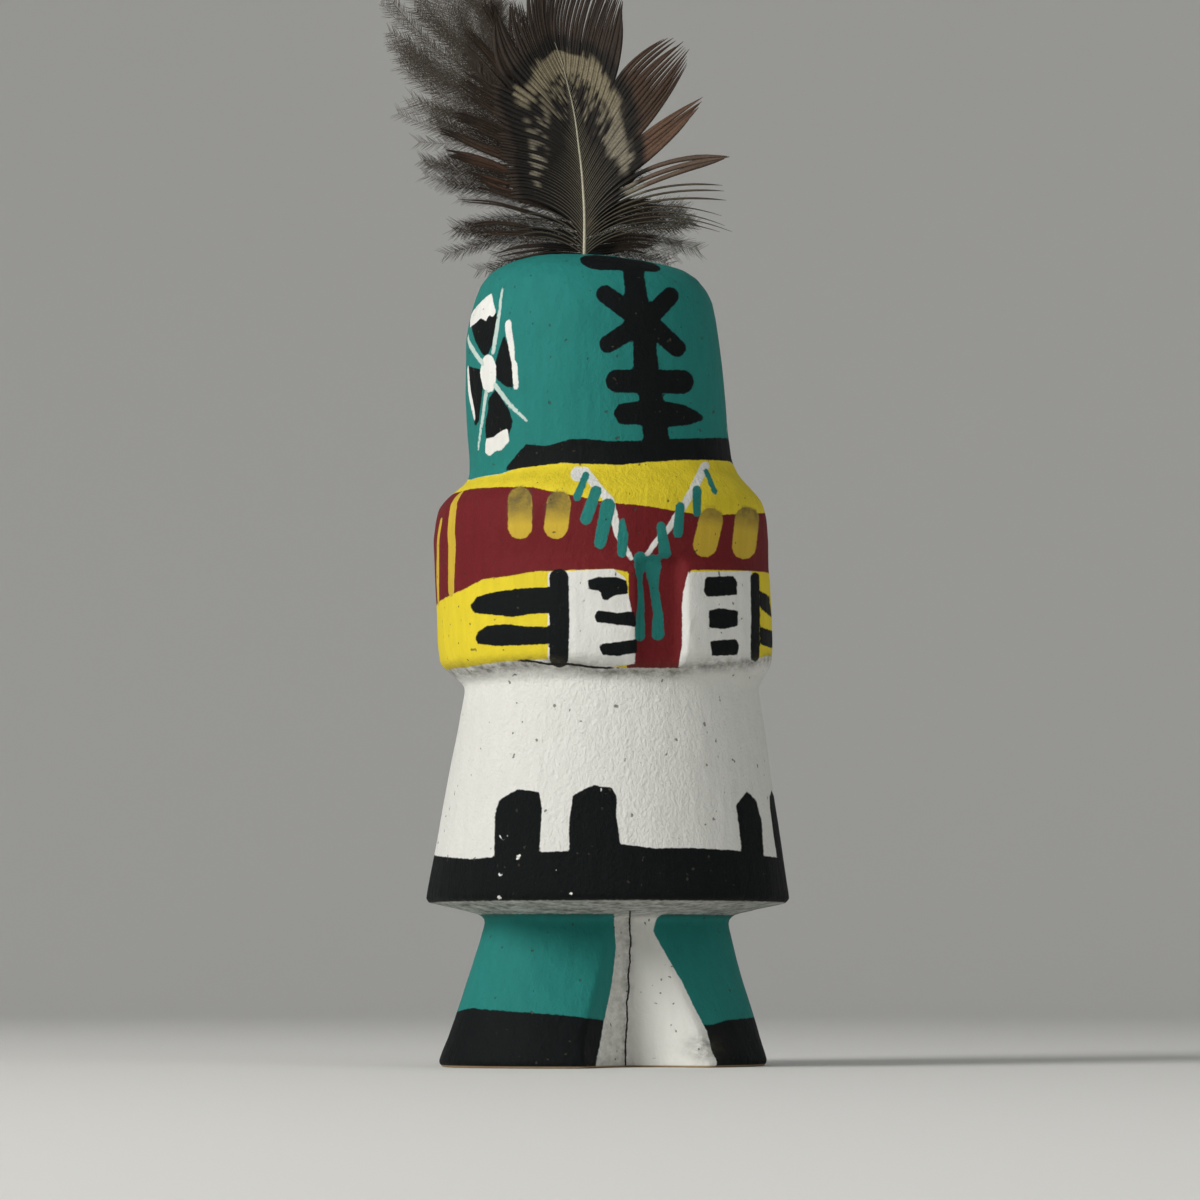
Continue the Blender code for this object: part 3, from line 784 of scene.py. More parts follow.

# Smudges of dirt and of painted shade where the dirt-and-shade mask lies, and the dark bottoms of the
# cracks.
patchy_dirt_and_shade = mottle(tree, 700, (1, 1, 1.8), detail=5.0, rough=0.68)
patchy_dirt_and_shade = figure(tree, "MULTIPLY_ADD", patchy_dirt_and_shade, 2.6, -0.72, clamp=True)
patchy_dirt_and_shade = figure(tree, "MULTIPLY", figure(tree, "MULTIPLY", patchy_dirt_and_shade, kept(tree, "dirt_and_shade")), 0.85, clamp=True)
colour = blend_colour(tree, patchy_dirt_and_shade, colour, DIRT_AND_SHADE)
jitter = figure(tree, "MULTIPLY", ragged, 0.9)
split = None
for name, half in (("foot_crack", 0.075), ("hand_crack", 0.11)):
    far = figure(tree, "ABSOLUTE", figure(tree, "ADD", kept(tree, name), jitter))
    line = figure(tree, "MULTIPLY_ADD", far, -14.0, 14.0 * half + 0.5, clamp=True)
    split = line if split is None else figure(tree, "MAXIMUM", split, line)
split = figure(tree, "MULTIPLY", split, kept(tree, "cracked"))
colour = blend_colour(tree, split, colour, (0.02, 0.017, 0.012, 1))

# Pits, where the paint missed small pores of the wood.
pits = figure(tree, "MULTIPLY_ADD", mottle(tree, 1400, detail=1.0), 26.0, -19.1, clamp=True)
colour = blend_colour(tree, figure(tree, "MULTIPLY", pits, 0.7), colour, DIRT_AND_SHADE)

# Bare underside.
place = add_node(tree, "ShaderNodeTexCoord")
parts = add_node(tree, "ShaderNodeSeparateXYZ")
tree.links.new(place.outputs["Object"], parts.inputs[0])
under = figure(tree, "MULTIPLY_ADD", parts.outputs["Z"], -9000.0, 2.4, clamp=True)
rings = mottle(tree, 300, (1, 6, 1), detail=6.0, rough=0.6)
wood = blend_colour(tree, rings, (0.36, 0.25, 0.14, 1), BARE_WOOD)
colour = blend_colour(tree, under, colour, wood)
tree.links.new(colour, shader.inputs["Base Color"])

# Relief: long fibres of the root, small pits and lumps of paint, and the thickness of each coat's edge.
fibres = mottle(tree, 2500, (1, 1, 0.72), detail=4.0, rough=0.68)
lumps = mottle(tree, 1500, (1, 1, 0.75), detail=3.0, rough=0.6)
grains = figure(tree, "MULTIPLY_ADD", mottle(tree, 1150, (1, 1, 0.45), detail=2.0), 5.0, -2.95, clamp=True)
relief = figure(tree, "MULTIPLY", fibres, figure(tree, "MULTIPLY", kept(tree, "coarse"), 0.30))
relief = figure(tree, "MULTIPLY_ADD", lumps, 0.09, relief)
relief = figure(tree, "MULTIPLY_ADD", grains, 0.045, relief)
relief = figure(tree, "ADD", relief, edge_height)
relief = figure(tree, "MULTIPLY_ADD", split, -0.25, relief)
relief = figure(tree, "MULTIPLY_ADD", pits, -0.08, relief)
bump = add_node(tree, "ShaderNodeBump")
bump.inputs["Strength"].default_value = 1.0
bump.inputs["Distance"].default_value = MM
tree.links.new(relief, bump.inputs["Height"])
tree.links.new(bump.outputs["Normal"], shader.inputs["Normal"])
shader.inputs["Specular IOR Level"].default_value = 0.12
carving.data.materials.clear()
carving.data.materials.append(painted)
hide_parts("body")
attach(carving, "root")

# Front feather.
# A small patterned body feather with a cream quill, a dark wedge, a spotted cream field and brown ends.
# Its barbs are flat strips that lie edge to edge where the vane holds together and part toward their tips.
CREAM = np.array((0.215, 0.192, 0.142))
PALE_SHAFT = np.array((0.20, 0.18, 0.13))
QUILL_CREAM = np.array((0.62, 0.58, 0.44))
FEATHER_BLACK = np.array((0.012, 0.0095, 0.0075))
FRINGE_BROWN = np.array((0.038, 0.026, 0.019))
CLUMP_BROWN = np.array((0.062, 0.037, 0.024))
RUSTY_BROWN = np.array((0.125, 0.070, 0.045))
SPIKE_BROWN = np.array((0.135, 0.092, 0.066))
OLIVE_BROWN = np.array((0.085, 0.070, 0.048))

FRONT_QUILL = (
    (584.5, 252), (584.5, 217), (583.3, 192), (581.3, 167), (578.3, 142), (575.5, 120), (571.7, 100),
    (566.7, 80), (561.7, 60), (554.5, 41),
)
# Barbs first run to the vane's edge: height on the quill in millimetres, a place in the photograph and
# how far they bow up.
RIGHT_EDGE = (
    (0.7, 622, 236, 0.16), (1.8, 628, 222, 0.16), (2.9, 632, 206, 0.16), (3.9, 633, 188, 0.15),
    (4.6, 631, 172, 0.13), (5.6, 631, 158, 0.11), (6.6, 630, 145, 0.09), (8.2, 626.5, 128, 0.06),
    (10.0, 621, 104, 0.02), (11.8, 611.5, 88, -0.02), (14.9, 600, 66.7, -0.08), (17.0, 591, 58, -0.08),
    (19.0, 581.7, 54, -0.08), (20.8, 568, 51.5, -0.05), (22.9, 556.5, 47, 0.0),
)
LEFT_EDGE = (
    (0.7, 548, 240, 0.16), (1.8, 541, 226, 0.18), (3.3, 535, 197, 0.20), (5.9, 530, 172, 0.22),
    (8.2, 528, 154, 0.22), (10.3, 526, 137, 0.20), (11.6, 521, 118, 0.16), (12.5, 515, 103, 0.12),
    (13.2, 513.5, 90, 0.10), (13.9, 527, 80, 0.06), (15.9, 536, 63, 0.0), (18.7, 546, 55, -0.04),
    (20.8, 551.5, 50, -0.04), (22.9, 556, 47, 0.0),
)
# Past the edge they part into clumps: heights on the quill, the tips' places in the photograph, how closed
# they are before the edge and at the tips, and their colour.
RIGHT_CLUMPS = (
    (0.7, 2.7, ((668, 228), (700, 230), (729, 234), (728, 227), (726, 213)), 0.34, 0.22, OLIVE_BROWN),
    (2.7, 3.6, ((725, 205), (726, 192), (727, 184)), 0.5, 0.4, OLIVE_BROWN),
    (3.6, 4.5, ((726, 161), (725, 157)), 0.9, 1.2, SPIKE_BROWN),
    (4.5, 6.6, ((696, 112), (706, 95)), 1.2, 0.85, RUSTY_BROWN),
    (6.6, 11.8, ((685, 70), (684, 48), (664, 37)), 1.2, 0.5, CLUMP_BROWN),
    (11.8, 23.2, ((622, 16), (621, -3), (612, -17), (592, -28), (563, -34)), 1.2, 0.62, FRINGE_BROWN),
)
LEFT_CLUMPS = (
    (0.7, 3.0, ((523, 246), (515, 234), (516, 220), (519, 206)), 0.34, 0.22, OLIVE_BROWN),
    (3.0, 10.3, ((512, 200), (505, 176), (500, 152), (498, 132)), 1.15, 0.9, FRINGE_BROWN),
    (10.3, 13.2, ((497, 124), (492, 103), (491, 82)), 1.2, 0.8, FRINGE_BROWN),
    (13.2, 15.0, ((495, 26), (500, 16)), 1.2, 0.9, FRINGE_BROWN),
    (15.0, 17.6, ((511, 8), (521, -2)), 1.2, 0.7, FRINGE_BROWN),
    (17.6, 23.2, ((526, -12), (541, -26), (560, -34)), 1.2, 0.6, FRINGE_BROWN),
)
CREAM_FIELD = (
    (556.7, 48.3), (568.3, 52), (581.7, 54.2), (591.7, 58.3), (600, 66.7), (605.8, 76.7), (609.2, 82.5),
    (611.7, 90), (617.5, 91.3), (620, 100), (622.5, 113.3), (624.7, 126.7), (627, 138), (630, 146),
    (631.3, 160), (630.3, 170), (626.7, 175), (600, 205), (560, 205), (535, 192), (530.8, 175),
    (528.7, 150), (525, 128), (522.5, 117), (515.8, 103), (513, 93), (514.7, 83), (519, 80), (526, 86),
    (530, 80), (531.7, 71.7), (536.7, 63.3), (546.7, 55),
)
DARK_WEDGE = (
    (572, 102), (567, 115), (559, 127), (551, 142), (546, 158), (541, 177), (537, 192), (530, 210),
    (545, 245), (583, 254), (640, 245), (640, 200), (628, 184), (621, 168), (616, 160), (608, 147),
    (595, 132), (583, 117), (576, 107),
)
FLECKED = (
    (521, 108), (528, 101), (535, 97), (543, 89), (551, 79), (560, 74), (578, 73), (590, 81), (597, 92),
    (604, 103), (610, 114), (612, 127), (606, 136), (595, 133), (583, 117), (576, 106), (570, 114),
    (562, 126), (554, 142), (545, 158), (536, 150), (526, 135), (523, 118),
)
CREAM_TIPS = ((624, 189), (632, 184), (640, 185), (642, 192), (638, 198), (628, 196))
FRONT_SPACING = 0.36 * MM
BLACK_BAND = 1.45 * MM


def on_plane(x, y, foot):
    """Where a point of the photograph lies on a feather's upright plane, across and up from its foot."""
    way = sight(x, y)
    far = (foot - eye).dot(toward_eye) / way.dot(toward_eye)
    gap = eye + way * far - foot
    return (gap.dot(across), gap.z)


def quill_foot(node):
    """The point on the head's top where a feather's quill goes in, and how deep its hole is."""
    spots = points_of(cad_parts[node].data)
    low = spots[spots[:, 2] < spots[:, 2].min() + 0.05 * MM].mean(axis=0)
    hit = plain_form.ray_cast(Vector((low[0] + 1.2 * MM, low[1], 0.2)), Vector((0, 0, -1)))[0]
    return Vector((low[0], low[1], hit.z)), low[2] - hit.z


def smooth_path(marks, count):
    """Points along a smooth curve through a few marks."""
    marks = np.array(marks, dtype=float)
    ends = np.vstack([2 * marks[0] - marks[1], marks, 2 * marks[-1] - marks[-2]])
    path = []
    for share in np.linspace(0, len(marks) - 1, count):
        step = min(int(share), len(marks) - 2)
        t = share - step
        a, b, c, d = ends[step : step + 4]
        square = (2 * a - 5 * b + 4 * c - d) * t**2
        cube = (3 * b - a - 3 * c + d) * t**3
        path.append(0.5 * (2 * b + (c - a) * t + square + cube))
    return np.array(path)


def wander(*place):
    """Smooth noise from -1 to 1."""
    return noise.noise(Vector(place))


def barb_lines(quill, clump, foot, spacing, steps, lean, cup, seed, unruly):
    """The lines of one clump's barbs, from quill to tip, as across, away and up from the foot."""
    low, high, tips, bow = clump[:4]
    count = max(3, round((high - low) * MM / spacing))
    tips = smooth_path([on_plane(*tip, foot) for tip in tips], 24)
    lines = np.empty((count, steps, 3))
    share = np.linspace(0, 1, steps)[:, None]
    for number in range(count):
        part = (number + 0.5) / count
        height = (low + (high - low) * part) * MM
        start = np.array([np.interp(height, quill[:, 1], quill[:, 0]), height])
        tip = np.array([np.interp(part, np.linspace(0, 1, 24), tips[:, axis]) for axis in (0, 1)])
        key = seed + number * 0.37
        way = (tip - start) * (1 + 0.06 * unruly * wander(key * 2.1, 0.5, 0))
        side = np.array([-way[1], way[0]]) * (1 if way[0] > 0 else -1)
        way = way + side * 0.03 * unruly * wander(key * 1.7, 3.1, 0)
        bent = bow * (1 + 0.35 * unruly * wander(key, 9.2, 0))
        middle = start + way * 0.45 + side * bent
        line = start * (1 - share) ** 2 + middle * 2 * share * (1 - share) + (start + way) * share**2
        waves = [0.30 * MM * unruly * s * wander(key * 0.8, s * 3.0, 6.4) for s in share[:, 0]]
        line += side / np.linalg.norm(side) * np.array(waves)[:, None]
        far = np.linalg.norm(line - start, axis=1)
        depth = lean * line[:, 1] - far**2 / (2 * cup) + ((number % 3) - 1) * 0.03 * MM
        depth += share[:, 0] ** 1.5 * 0.35 * MM * unruly * wander(key * 0.6, 5.5, 0)
        lines[number] = np.stack([line[:, 0], depth, line[:, 1]], axis=1)
    return lines


def gaps_between(lines):
    """How far each barb lies from its neighbours, at each step."""
    far = np.linalg.norm(np.diff(lines[:, :, [0, 2]], axis=0), axis=2)
    return np.minimum(np.vstack([far[:1], (far[:-1] + far[1:]) / 2, far[-1:]]), 0.55 * MM)


def streaks(lines, seed, fine, scale):
    """Noise along the barbs: fine is how fast it changes from barb to barb, scale along each."""
    values = np.empty(lines.shape[:2])
    for number, line in enumerate(lines):
        far = np.linalg.norm(line - line[0], axis=1) / MM
        values[number] = [wander(seed + number * fine, step * scale, seed * 0.7) for step in far]
    return values


def steps_up(value, low, high):
    share = np.clip((value - low) / (high - low), 0, 1)
    return share * share * (3 - 2 * share)


def mix(under, over, share):
    return under + (over - under) * np.asarray(share)[..., None]


# Barbs that would pass the solid's box are eased back, to stay within this share of each side beyond it.
BOX_ROOM = 0.022


def make_strands(name, strands, flatness, place, material):
    """Thin tapered strips, each a line of points with radii and colours, joined into one piece."""
    curve = bpy.data.curves.new(name, "CURVE")
    curve.dimensions = "3D"
    curve.bevel_depth = 0.1 * MM
    curve.bevel_resolution = 0
    curve.use_fill_caps = True
    end_colours = []
    colours = []
    for points, radii, tints in strands:
        spline = curve.splines.new("POLY")
        spline.points.add(len(points) - 1)
        flat = np.ones((len(points), 4))
        flat[:, :3] = points
        flat[:, 1] /= flatness
        spline.points.foreach_set("co", flat.ravel())
        spline.points.foreach_set("radius", np.asarray(radii) / (0.1 * MM))
        end_colours.append(np.repeat(tints[[-1, 0]], 4, axis=0))
        colours.append(np.repeat(tints, 4, axis=0))
    item = bpy.data.objects.new(name, curve)
    bpy.context.scene.collection.objects.link(item)
    mesh = bpy.data.meshes.new_from_object(item.evaluated_get(bpy.context.evaluated_depsgraph_get()))
    bpy.data.objects.remove(item)
    bpy.data.curves.remove(curve)
    colours = np.vstack(end_colours + colours)
    tints = mesh.attributes.new("tint", "FLOAT_COLOR", "POINT")
    colours = np.hstack([colours, np.ones((len(colours), 1))]).astype(np.float32)
    tints.data.foreach_set("color", colours.ravel())
    mesh.transform(place @ Matrix.Diagonal((1, flatness, 1, 1)))
    spots = points_of(mesh)
    low, high = np.array(solid_box[0]), np.array(solid_box[1])
    room = BOX_ROOM * (high - low)
    spots = np.where(spots > high, high + room * np.tanh((spots - high) / room), spots)
    spots = np.where(spots < low, low - room * np.tanh((low - spots) / room), spots)
    set_points(mesh, spots)
    mesh.name = name
    mesh.shade_smooth()
    piece = bpy.data.objects.new(name, mesh)
    bpy.context.scene.collection.objects.link(piece)
    piece.data.materials.append(material)
    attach(piece, "root")
    return piece


def feather_place(foot):
    return Matrix.Translation(foot) @ Matrix.Rotation(PHOTO_TURN, 4, "Z")


def quill_strand(quill, lean, depth, thick, thin, colour):
    """The quill from the bottom of its hole to the feather's tip."""
    points = np.stack([quill[:, 0], lean * quill[:, 1] - 0.12 * MM, quill[:, 1]], axis=1)
    points = np.vstack([[0.0, 0.0, depth], [0.0, 0.0, 0.0], points[1:]])
    shares = np.linspace(0, 1, len(points))
    radii = np.interp(shares, (0, 0.1, 0.5, 1), (thick * 1.3, thick, thick * 0.62, thin))
    return points, radii, colour * (1 - 0.5 * shares[:, None])


def feather_finish(name, roughness):
    """Matt barbs in their own colours, a little lighter and darker from place to place."""
    material, tree, shader = new_material(name, roughness)
    tint = add_node(tree, "ShaderNodeAttribute", attribute_name="tint").outputs["Color"]
    share = figure(tree, "MULTIPLY_ADD", mottle(tree, 5200), 1.8, -0.55, clamp=True)
    shade = add_node(tree, "ShaderNodeMix", data_type="RGBA", blend_type="MULTIPLY")
    shade.inputs[0].default_value = 1.0
    fill(tree, shade.inputs[6], tint)
    fill(tree, shade.inputs[7], blend_colour(tree, share, (0.66, 0.66, 0.66, 1), (1.25, 1.25, 1.25, 1)))
    tree.links.new(shade.outputs[2], shader.inputs["Base Color"])
    shader.inputs["Specular IOR Level"].default_value = 0.25
    return material


front_foot, front_depth = quill_foot("feather_front")
front_quill = smooth_path([on_plane(*mark, front_foot) for mark in FRONT_QUILL], 40)
cream_field = [on_plane(*mark, front_foot) for mark in CREAM_FIELD]
dark_wedge = [on_plane(*mark, front_foot) for mark in DARK_WEDGE]
flecked = [on_plane(*mark, front_foot) for mark in FLECKED]
cream_tips = [on_plane(*mark, front_foot) for mark in CREAM_TIPS]
teeth_top = on_plane(530, 122, front_foot)[1]


def front_tints(lines, seed, outer):
    """The feather's pattern along one clump of barbs."""
    form = lines.shape[:2]
    here = lines[:, :, [0, 2]].reshape(-1, 2)
    ragged = streaks(lines, seed + 3, 0.9, 0.7) * 0.2 * MM
    field = outline_distance(cream_field, here).reshape(form) + ragged
    wedge = outline_distance(dark_wedge, here).reshape(form) + ragged * 2.2
    flecks = outline_distance(flecked, here).reshape(form)
    tips = outline_distance(cream_tips, here).reshape(form)
    up = lines[:, :, 2]
    cream = mix(CREAM, CREAM * np.array((0.98, 0.93, 0.80)), steps_up(up, 13 * MM, 21 * MM))
    cream = cream * (1 + 0.28 * streaks(lines, seed + 9, 2.3, 0.25))[..., None]
    colour = mix(cream, cream * 0.66, steps_up(-flecks, -0.2 * MM, 0.5 * MM))
    spots = streaks(lines, seed, 1.7, 1.15) + 0.35 * (1 - steps_up(wedge, 0.2 * MM, 2.0 * MM))
    colour = mix(colour, FEATHER_BLACK, steps_up(spots, 0.0, 0.1) * steps_up(-flecks, -0.3 * MM, 0.1 * MM))
    teeth = (lines[:, :, 0] < 0) & (up < teeth_top)
    gaps = (np.arange(form[0]) % 3 == 0)[:, None] * steps_up(streaks(lines, seed + 5, 0.5, 0.3), -0.5, -0.2)
    colour = mix(colour, FEATHER_BLACK, np.where(teeth, gaps, 0))
    colour = mix(FEATHER_BLACK, colour, steps_up(wedge, -0.1 * MM, 0.1 * MM))
    ends = mix(outer, outer * 0.7, steps_up(streaks(lines, seed + 7, 1.3, 0.2), -0.1, 0.5))
    band = BLACK_BAND + 0.25 * MM * streaks(lines, seed + 2, 0.4, 0.1)
    ends = mix(FEATHER_BLACK, ends, steps_up(field, band, band + 0.5 * MM))
    colour = mix(colour, ends, steps_up(field, -0.06 * MM, 0.06 * MM))
    return mix(CREAM, colour, steps_up(tips, -0.05 * MM, 0.15 * MM))


def vane_lines(clump, edge, seed):
    """The barbs of one clump: out to the vane's edge in one bow, then on to their tips."""
    low, high, tips = clump[:3]
    count = max(3, round((high - low) * MM / FRONT_SPACING))
    tips = smooth_path([on_plane(*tip, front_foot) for tip in tips], 24)
    rims = np.array([on_plane(x, y, front_foot) for _, x, y, _ in edge])
    marks = [height for height, _, _, _ in edge]
    lines = []
    for number in range(count):
        part = (number + 0.5) / count
        height = low + (high - low) * part
        key = seed + number * 0.37
        start = np.array([np.interp(height * MM, front_quill[:, 1], front_quill[:, 0]), height * MM])
        rim = np.array([np.interp(height, marks, rims[:, axis]) for axis in (0, 1)])
        tip = np.array([np.interp(part, np.linspace(0, 1, 24), tips[:, axis]) for axis in (0, 1)])
        tip = rim + (tip - rim) * (1 + 0.10 * wander(key * 2.1, 0.5, 0))
        way = rim - start
        up_side = np.array([-way[1], way[0]]) * (1 if edge is RIGHT_EDGE else -1)
        bow = start + way * 0.45 + up_side * np.interp(height, marks, [bent for _, _, _, bent in edge])
        share = np.linspace(0, 1, 15)[:, None]
        inner = start * (1 - share) ** 2 + bow * 2 * share * (1 - share) + rim * share**2
        on = (rim - bow) / np.linalg.norm(rim - bow) * np.linalg.norm(tip - rim) * 0.45 + rim
        share = np.linspace(0, 1, 12)[1:, None]
        outer = rim * (1 - share) ** 2 + on * 2 * share * (1 - share) + tip * share**2
        stray = 0.16 * MM * wander(key * 1.7, 3.1, 0)
        outer += (up_side / np.linalg.norm(up_side)) * stray * share * 1.6
        line = np.vstack([inner, outer])
        far = np.linalg.norm(line - start, axis=1)
        depth = 0.03 * line[:, 1] - far**2 / (2 * 125 * MM) + ((number % 3) - 1) * 0.03 * MM
        depth[15:] += share[:, 0] ** 1.5 * 0.3 * MM * wander(key * 0.6, 5.5, 0)
        lines.append(np.stack([line[:, 0], depth, line[:, 1]], axis=1))
    return np.array(lines)


front_strips = []
front_shafts = [quill_strand(front_quill, 0.03, front_depth, 0.16 * MM, 0.03 * MM, QUILL_CREAM)]
sides = [(RIGHT_EDGE, clump) for clump in RIGHT_CLUMPS] + [(LEFT_EDGE, clump) for clump in LEFT_CLUMPS]
for number, (edge, clump) in enumerate(sides):
    seed = 11.3 * (number + 1)
    lines = vane_lines(clump, edge, seed)
    tints = front_tints(lines, seed, clump[5])
    closed = np.concatenate([np.full(15, clump[3]), np.linspace(clump[3], clump[4], 11)])
    radii = gaps_between(lines) * closed * 0.5
    radii[:, 0] *= 0.7
    radii[:, -3:] *= (0.9, 0.65, 0.15)
    for barb, (points, sizes, colours) in enumerate(zip(lines, np.maximum(radii, 0.016 * MM), tints)):
        front_strips.append((points, sizes, colours))
        height = points[0, 2] / MM
        reach = int(np.interp(height, (0.7, 3.5, 7, 11, 16), (22, 15, 11, 6, 3)))
        rib = points[: reach + 1] + np.array([0, -0.07 * MM, 0])
        fade = np.linspace(1, 0, reach + 1)
        pale = PALE_SHAFT * (0.4 + 0.6 * fade[:, None]) * (1 + 0.3 * wander(seed + barb, 2.0, 0))
        front_shafts.append((rib, 0.038 * MM * np.interp(fade, (0, 0.3, 1), (0.25, 0.8, 1)), pale))

patterned = feather_finish("patterned_barbs", 0.75)
front_vane = make_strands(
    "front_vane", front_strips, 0.3, feather_place(front_foot), patterned
)
front_ribs = make_strands(
    "front_ribs", front_shafts, 1.0, feather_place(front_foot), patterned
)
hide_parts("feather_front")

# Dark side feather.
# A second, darker feather behind the first leans to the doll's right. Its barbs hang together in pointed
# bundles, nearly black at the root and tips with rusty middles.
SIDE_QUILL = ((583, 252), (576, 205), (556, 150), (528, 100), (498, 62))
SIDE_CLUMPS = (
    (0.8, 2.3, ((512, 262), (492, 254)), 0.10, 0.9, 0.4),
    (2.3, 3.8, ((474, 240), (468, 222)), 0.10, 0.9, 0.4),
    (3.8, 4.6, ((463, 203), (461, 200)), 0.12, 1.0, 0.7),
    (4.6, 6.6, ((480, 190), (466, 168)), 0.10, 1.1, 0.8),
    (6.6, 8.0, ((451, 156), (448, 152)), 0.08, 1.2, 1.2),
    (8.0, 9.6, ((451, 140), (447, 136)), 0.08, 1.2, 1.1),
    (9.6, 12.6, ((466, 128), (458, 108)), 0.08, 1.2, 0.7),
    (12.6, 15.0, ((462, 92), (464, 66)), 0.06, 1.2, 0.6),
    (15.0, 17.4, ((468, 44), (473, 26)), 0.02, 1.2, 0.5),
    (17.4, 20.6, ((481, 7), (488, -2), (498, -1)), -0.04, 1.2, 0.6),
    (0.8, 3.0, ((646, 250), (662, 238)), 0.14, 1.0, 0.6),
    (3.0, 5.5, ((660, 222), (656, 196)), 0.12, 1.1, 0.7),
    (5.5, 11.0, ((640, 180), (600, 110)), 0.06, 1.1, 0.8),
    (11.0, 20.6, ((582, 80), (545, 30), (505, 0)), 0.0, 1.1, 0.8),
)
SIDE_BLACK = np.array((0.011, 0.0085, 0.007))
SIDE_BROWN = np.array((0.042, 0.029, 0.020))
SIDE_RUST = np.array((0.085, 0.045, 0.028))
side_foot, side_depth = quill_foot("feather_side")
side_quill = smooth_path([on_plane(*mark, side_foot) for mark in SIDE_QUILL], 30)
rust_height = on_plane(480, 172, side_foot)[1]


def branches(points, seed, spacing, length, radius, start_share, colour, spread=0.6, droop=0.0):
    """Soft side branches along the outer part of a barb."""
    steps = np.linalg.norm(np.diff(points, axis=0), axis=1)
    marks = np.concatenate([[0], np.cumsum(steps)])
    total = marks[-1]
    tufts = []
    for number in range(int(total * (1 - start_share) / spacing)):
        at = total * start_share + (number + 0.5 + 0.4 * wander(seed, number * 0.9, 4)) * spacing
        root = np.array([np.interp(at, marks, points[:, axis]) for axis in range(3)])
        ahead = np.array([np.interp(at - 0.4 * MM, marks, points[:, axis]) for axis in range(3)])
        way = (root - ahead) / max(np.linalg.norm(root - ahead), 1e-9)
        for hand in (-1, 1):
            tone = wander(seed * 3.3, number * 1.31, hand * 2.0)
            side = np.array([-way[2], 0.0, way[0]]) * hand
            out = way * (0.8 + 0.5 * tone) + side * spread
            out[1] += 0.9 * wander(seed, number * 0.77, hand * 5.0)
            out[2] -= droop
            out *= length * (0.85 + 0.6 * tone) / np.linalg.norm(out)
            curl = np.array([wander(seed, number * 0.5, 11), tone, wander(number * 0.6, seed, 17)])
            curl = curl * length * 0.5
            line = np.array([root, root + out * 0.5 + curl * 0.12, root + out + curl * 0.6])
            sizes = radius * np.array([1.0, 0.8, 0.3])
            tufts.append((line, sizes, np.tile(colour(root, tone), (3, 1))))
    return tufts


def side_shade(root, tone):
    return SIDE_BROWN * (1.15 + 0.8 * tone)


side_strips = []
for number, clump in enumerate(SIDE_CLUMPS):
    seed = 101 + 9.7 * number
    lines = barb_lines(side_quill, clump, side_foot, 0.24 * MM, 14, 0.07, 170 * MM, seed, 2.2)
    shares = np.linspace(0, 1, lines.shape[1])
    rust = np.exp(-(((lines[:, :, 2] - rust_height) / (2.6 * MM)) ** 2))
    rust = rust * steps_up(-lines[:, :, 0], 5 * MM, 8 * MM)
    rust = np.maximum(rust, 0.45 * steps_up(streaks(lines, seed, 0.3, 0.12), 0.05, 0.4))
    tints = mix(SIDE_BLACK, SIDE_BROWN, steps_up(shares, 0.42, 0.62)[None, :])
    tints = mix(tints, SIDE_RUST, rust * (shares > 0.35))
    tints = mix(tints, SIDE_BLACK, steps_up(shares, 0.84, 0.97)[None, :] * 0.8)
    tints = tints * (1 + 0.35 * streaks(lines, seed + 4, 1.7, 0.3))[..., None]
    closed = clump[4] + (clump[5] - clump[4]) * steps_up(shares, 0.35, 0.95)
    radii = gaps_between(lines) * closed * 0.52 * np.interp(shares, (0, 0.05, 0.85, 1), (0.6, 1, 0.8, 0.15))
    for barb, (points, sizes, colours) in enumerate(zip(lines, np.maximum(radii, 0.016 * MM), tints)):
        side_strips.append((points, sizes, colours))
        side_strips += branches(
            points, seed + barb * 0.7, 0.24 * MM, 1.1 * MM, 0.019 * MM, 0.42, side_shade
        )
side_strips.append(quill_strand(side_quill, 0.07, side_depth, 0.16 * MM, 0.03 * MM, SIDE_BROWN * 1.5))
dark_barbs = feather_finish("dark_barbs", 0.8)
side_vane = make_strands(
    "side_vane", side_strips, 0.45, feather_place(side_foot), dark_barbs
)
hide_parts("feather_side")

# Down feather.
# The last feather is loose grey-brown down: soft barbs with fine branches that cross each other every way.
DOWN_QUILL = ((583, 252), (568, 195), (532, 130), (492, 80), (452, 44))
DOWN_CLUMPS = (
    (0.5, 2.4, ((530, 272), (496, 274), (478, 264)), 0.10),
    (2.4, 5.6, ((468, 248), (456, 216)), 0.10),
    (5.6, 9.4, ((450, 190), (432, 150)), 0.09),
    (9.4, 13.4, ((424, 124), (410, 86)), 0.06),
    (13.4, 17.6, ((404, 64), (396, 30)), 0.02),
    (17.6, 22.8, ((402, 8), (420, -14), (448, -22)), -0.03),
    (0.5, 2.8, ((640, 262), (690, 256), (700, 240)), 0.12),
    (2.8, 6.0, ((700, 226), (684, 204)), 0.12),
    (6.0, 10.0, ((640, 180), (606, 120)), 0.06),
    (10.0, 16.0, ((580, 80), (530, 20)), 0.02),
    (16.0, 22.8, ((500, -10), (456, -24)), 0.0),
)
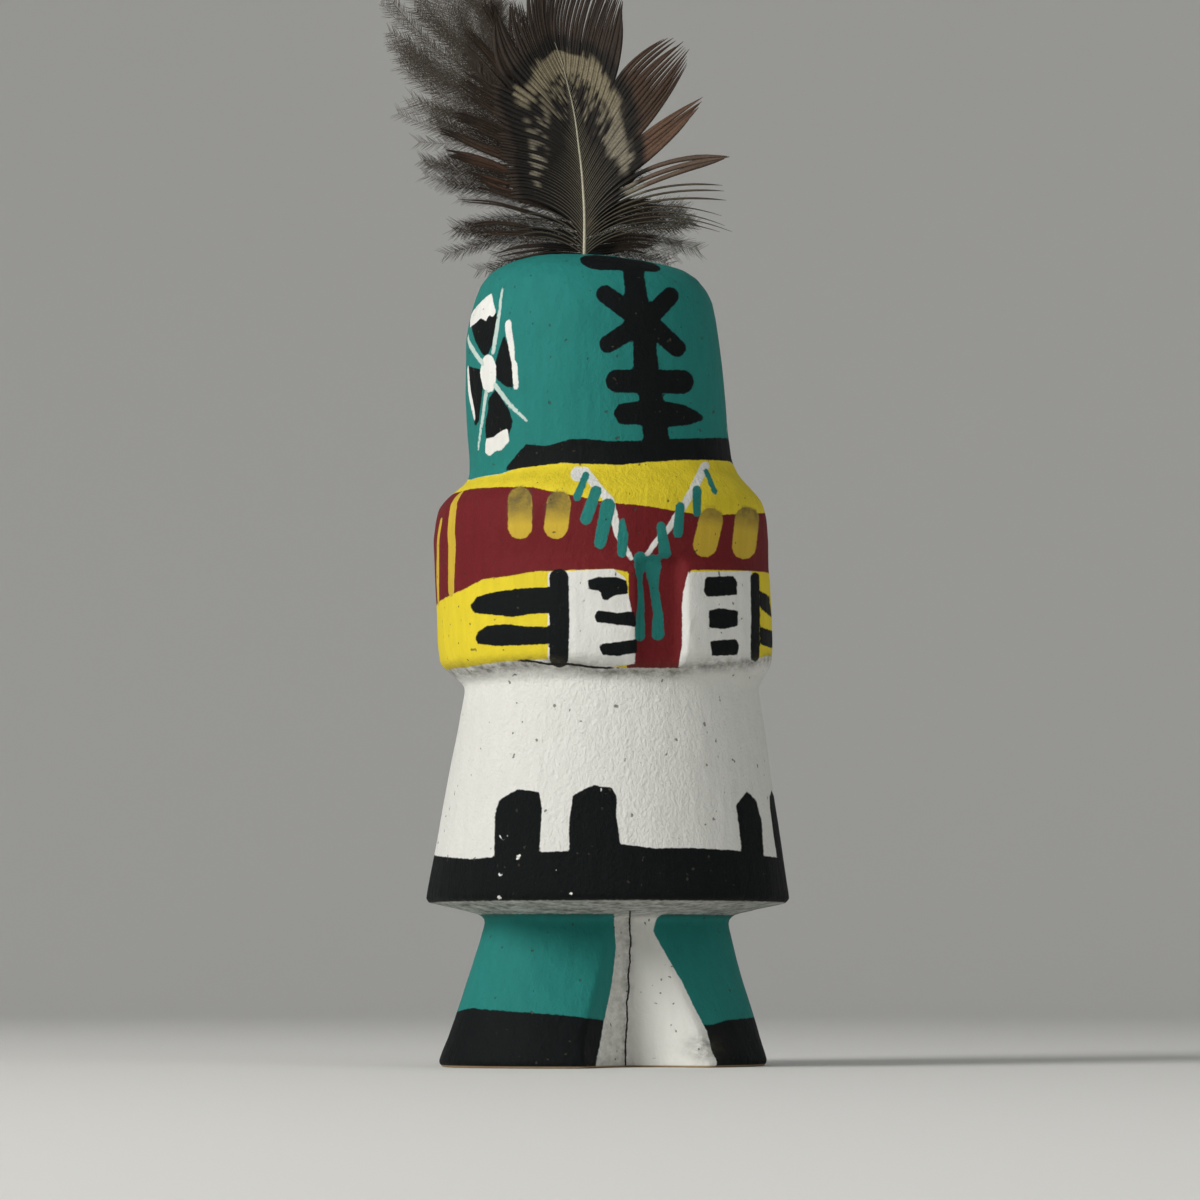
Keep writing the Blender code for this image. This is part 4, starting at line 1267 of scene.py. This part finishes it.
DOWN_DARK = np.array((0.022, 0.016, 0.011))
DOWN_BROWN = np.array((0.052, 0.036, 0.024))
DOWN_GREY = np.array((0.115, 0.096, 0.075))
DOWN_OLIVE = np.array((0.120, 0.112, 0.086))
down_foot, down_depth = quill_foot("feather_down")
down_quill = smooth_path([on_plane(*mark, down_foot) for mark in DOWN_QUILL], 30)


def down_shade(root, tone):
    """Dark inside the tuft, brown further out, pale grey at its upper end and olive on the right."""
    out = math.hypot(root[0] + 4 * MM, root[2] - 8 * MM)
    colour = mix(DOWN_DARK, DOWN_BROWN, steps_up(out, 5 * MM, 11 * MM))
    colour = mix(colour, DOWN_GREY, steps_up(root[2] * 0.8 - root[0] * 0.6, 18.5 * MM, 26 * MM))
    colour = mix(colour, DOWN_OLIVE, steps_up(root[0], 5 * MM, 11 * MM))
    return colour * (1 + 0.5 * tone)


down_tufts = []
for number, clump in enumerate(DOWN_CLUMPS):
    seed = 201 + 9.1 * number
    strands = []
    for barb, points in enumerate(
        barb_lines(down_quill, clump, down_foot, 0.26 * MM, 12, 0.13, 900 * MM, seed, 4.5)
    ):
        shares = np.linspace(0, 1, len(points))
        tone = wander(seed + barb, 1.5, 8)
        tints = np.array([down_shade(point, tone) * 0.8 for point in points])
        strands.append((points, 0.034 * MM * np.interp(shares, (0, 0.4, 1), (1.2, 0.8, 0.35)), tints))
        strands += branches(
            points, seed + barb * 0.7, 0.20 * MM, 1.5 * MM, 0.025 * MM, 0.05, down_shade, 0.7, 0.05
        )
    down_tufts.append(strands)
down_barbs = feather_finish("down_barbs", 0.85)
down_tufts[0].append(quill_strand(down_quill, 0.13, down_depth, 0.16 * MM, 0.03 * MM, DOWN_BROWN))
low_tufts = down_tufts[0:3] + down_tufts[6:7]
for name, parts in (("down_low", low_tufts), ("down_high", down_tufts[3:6]), ("down_far", down_tufts[7:])):
    strands = [strand for part in parts for strand in part]
    down = make_strands(name, strands, 1.0, feather_place(down_foot), down_barbs)
    if name == "down_low":
        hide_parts("feather_down")
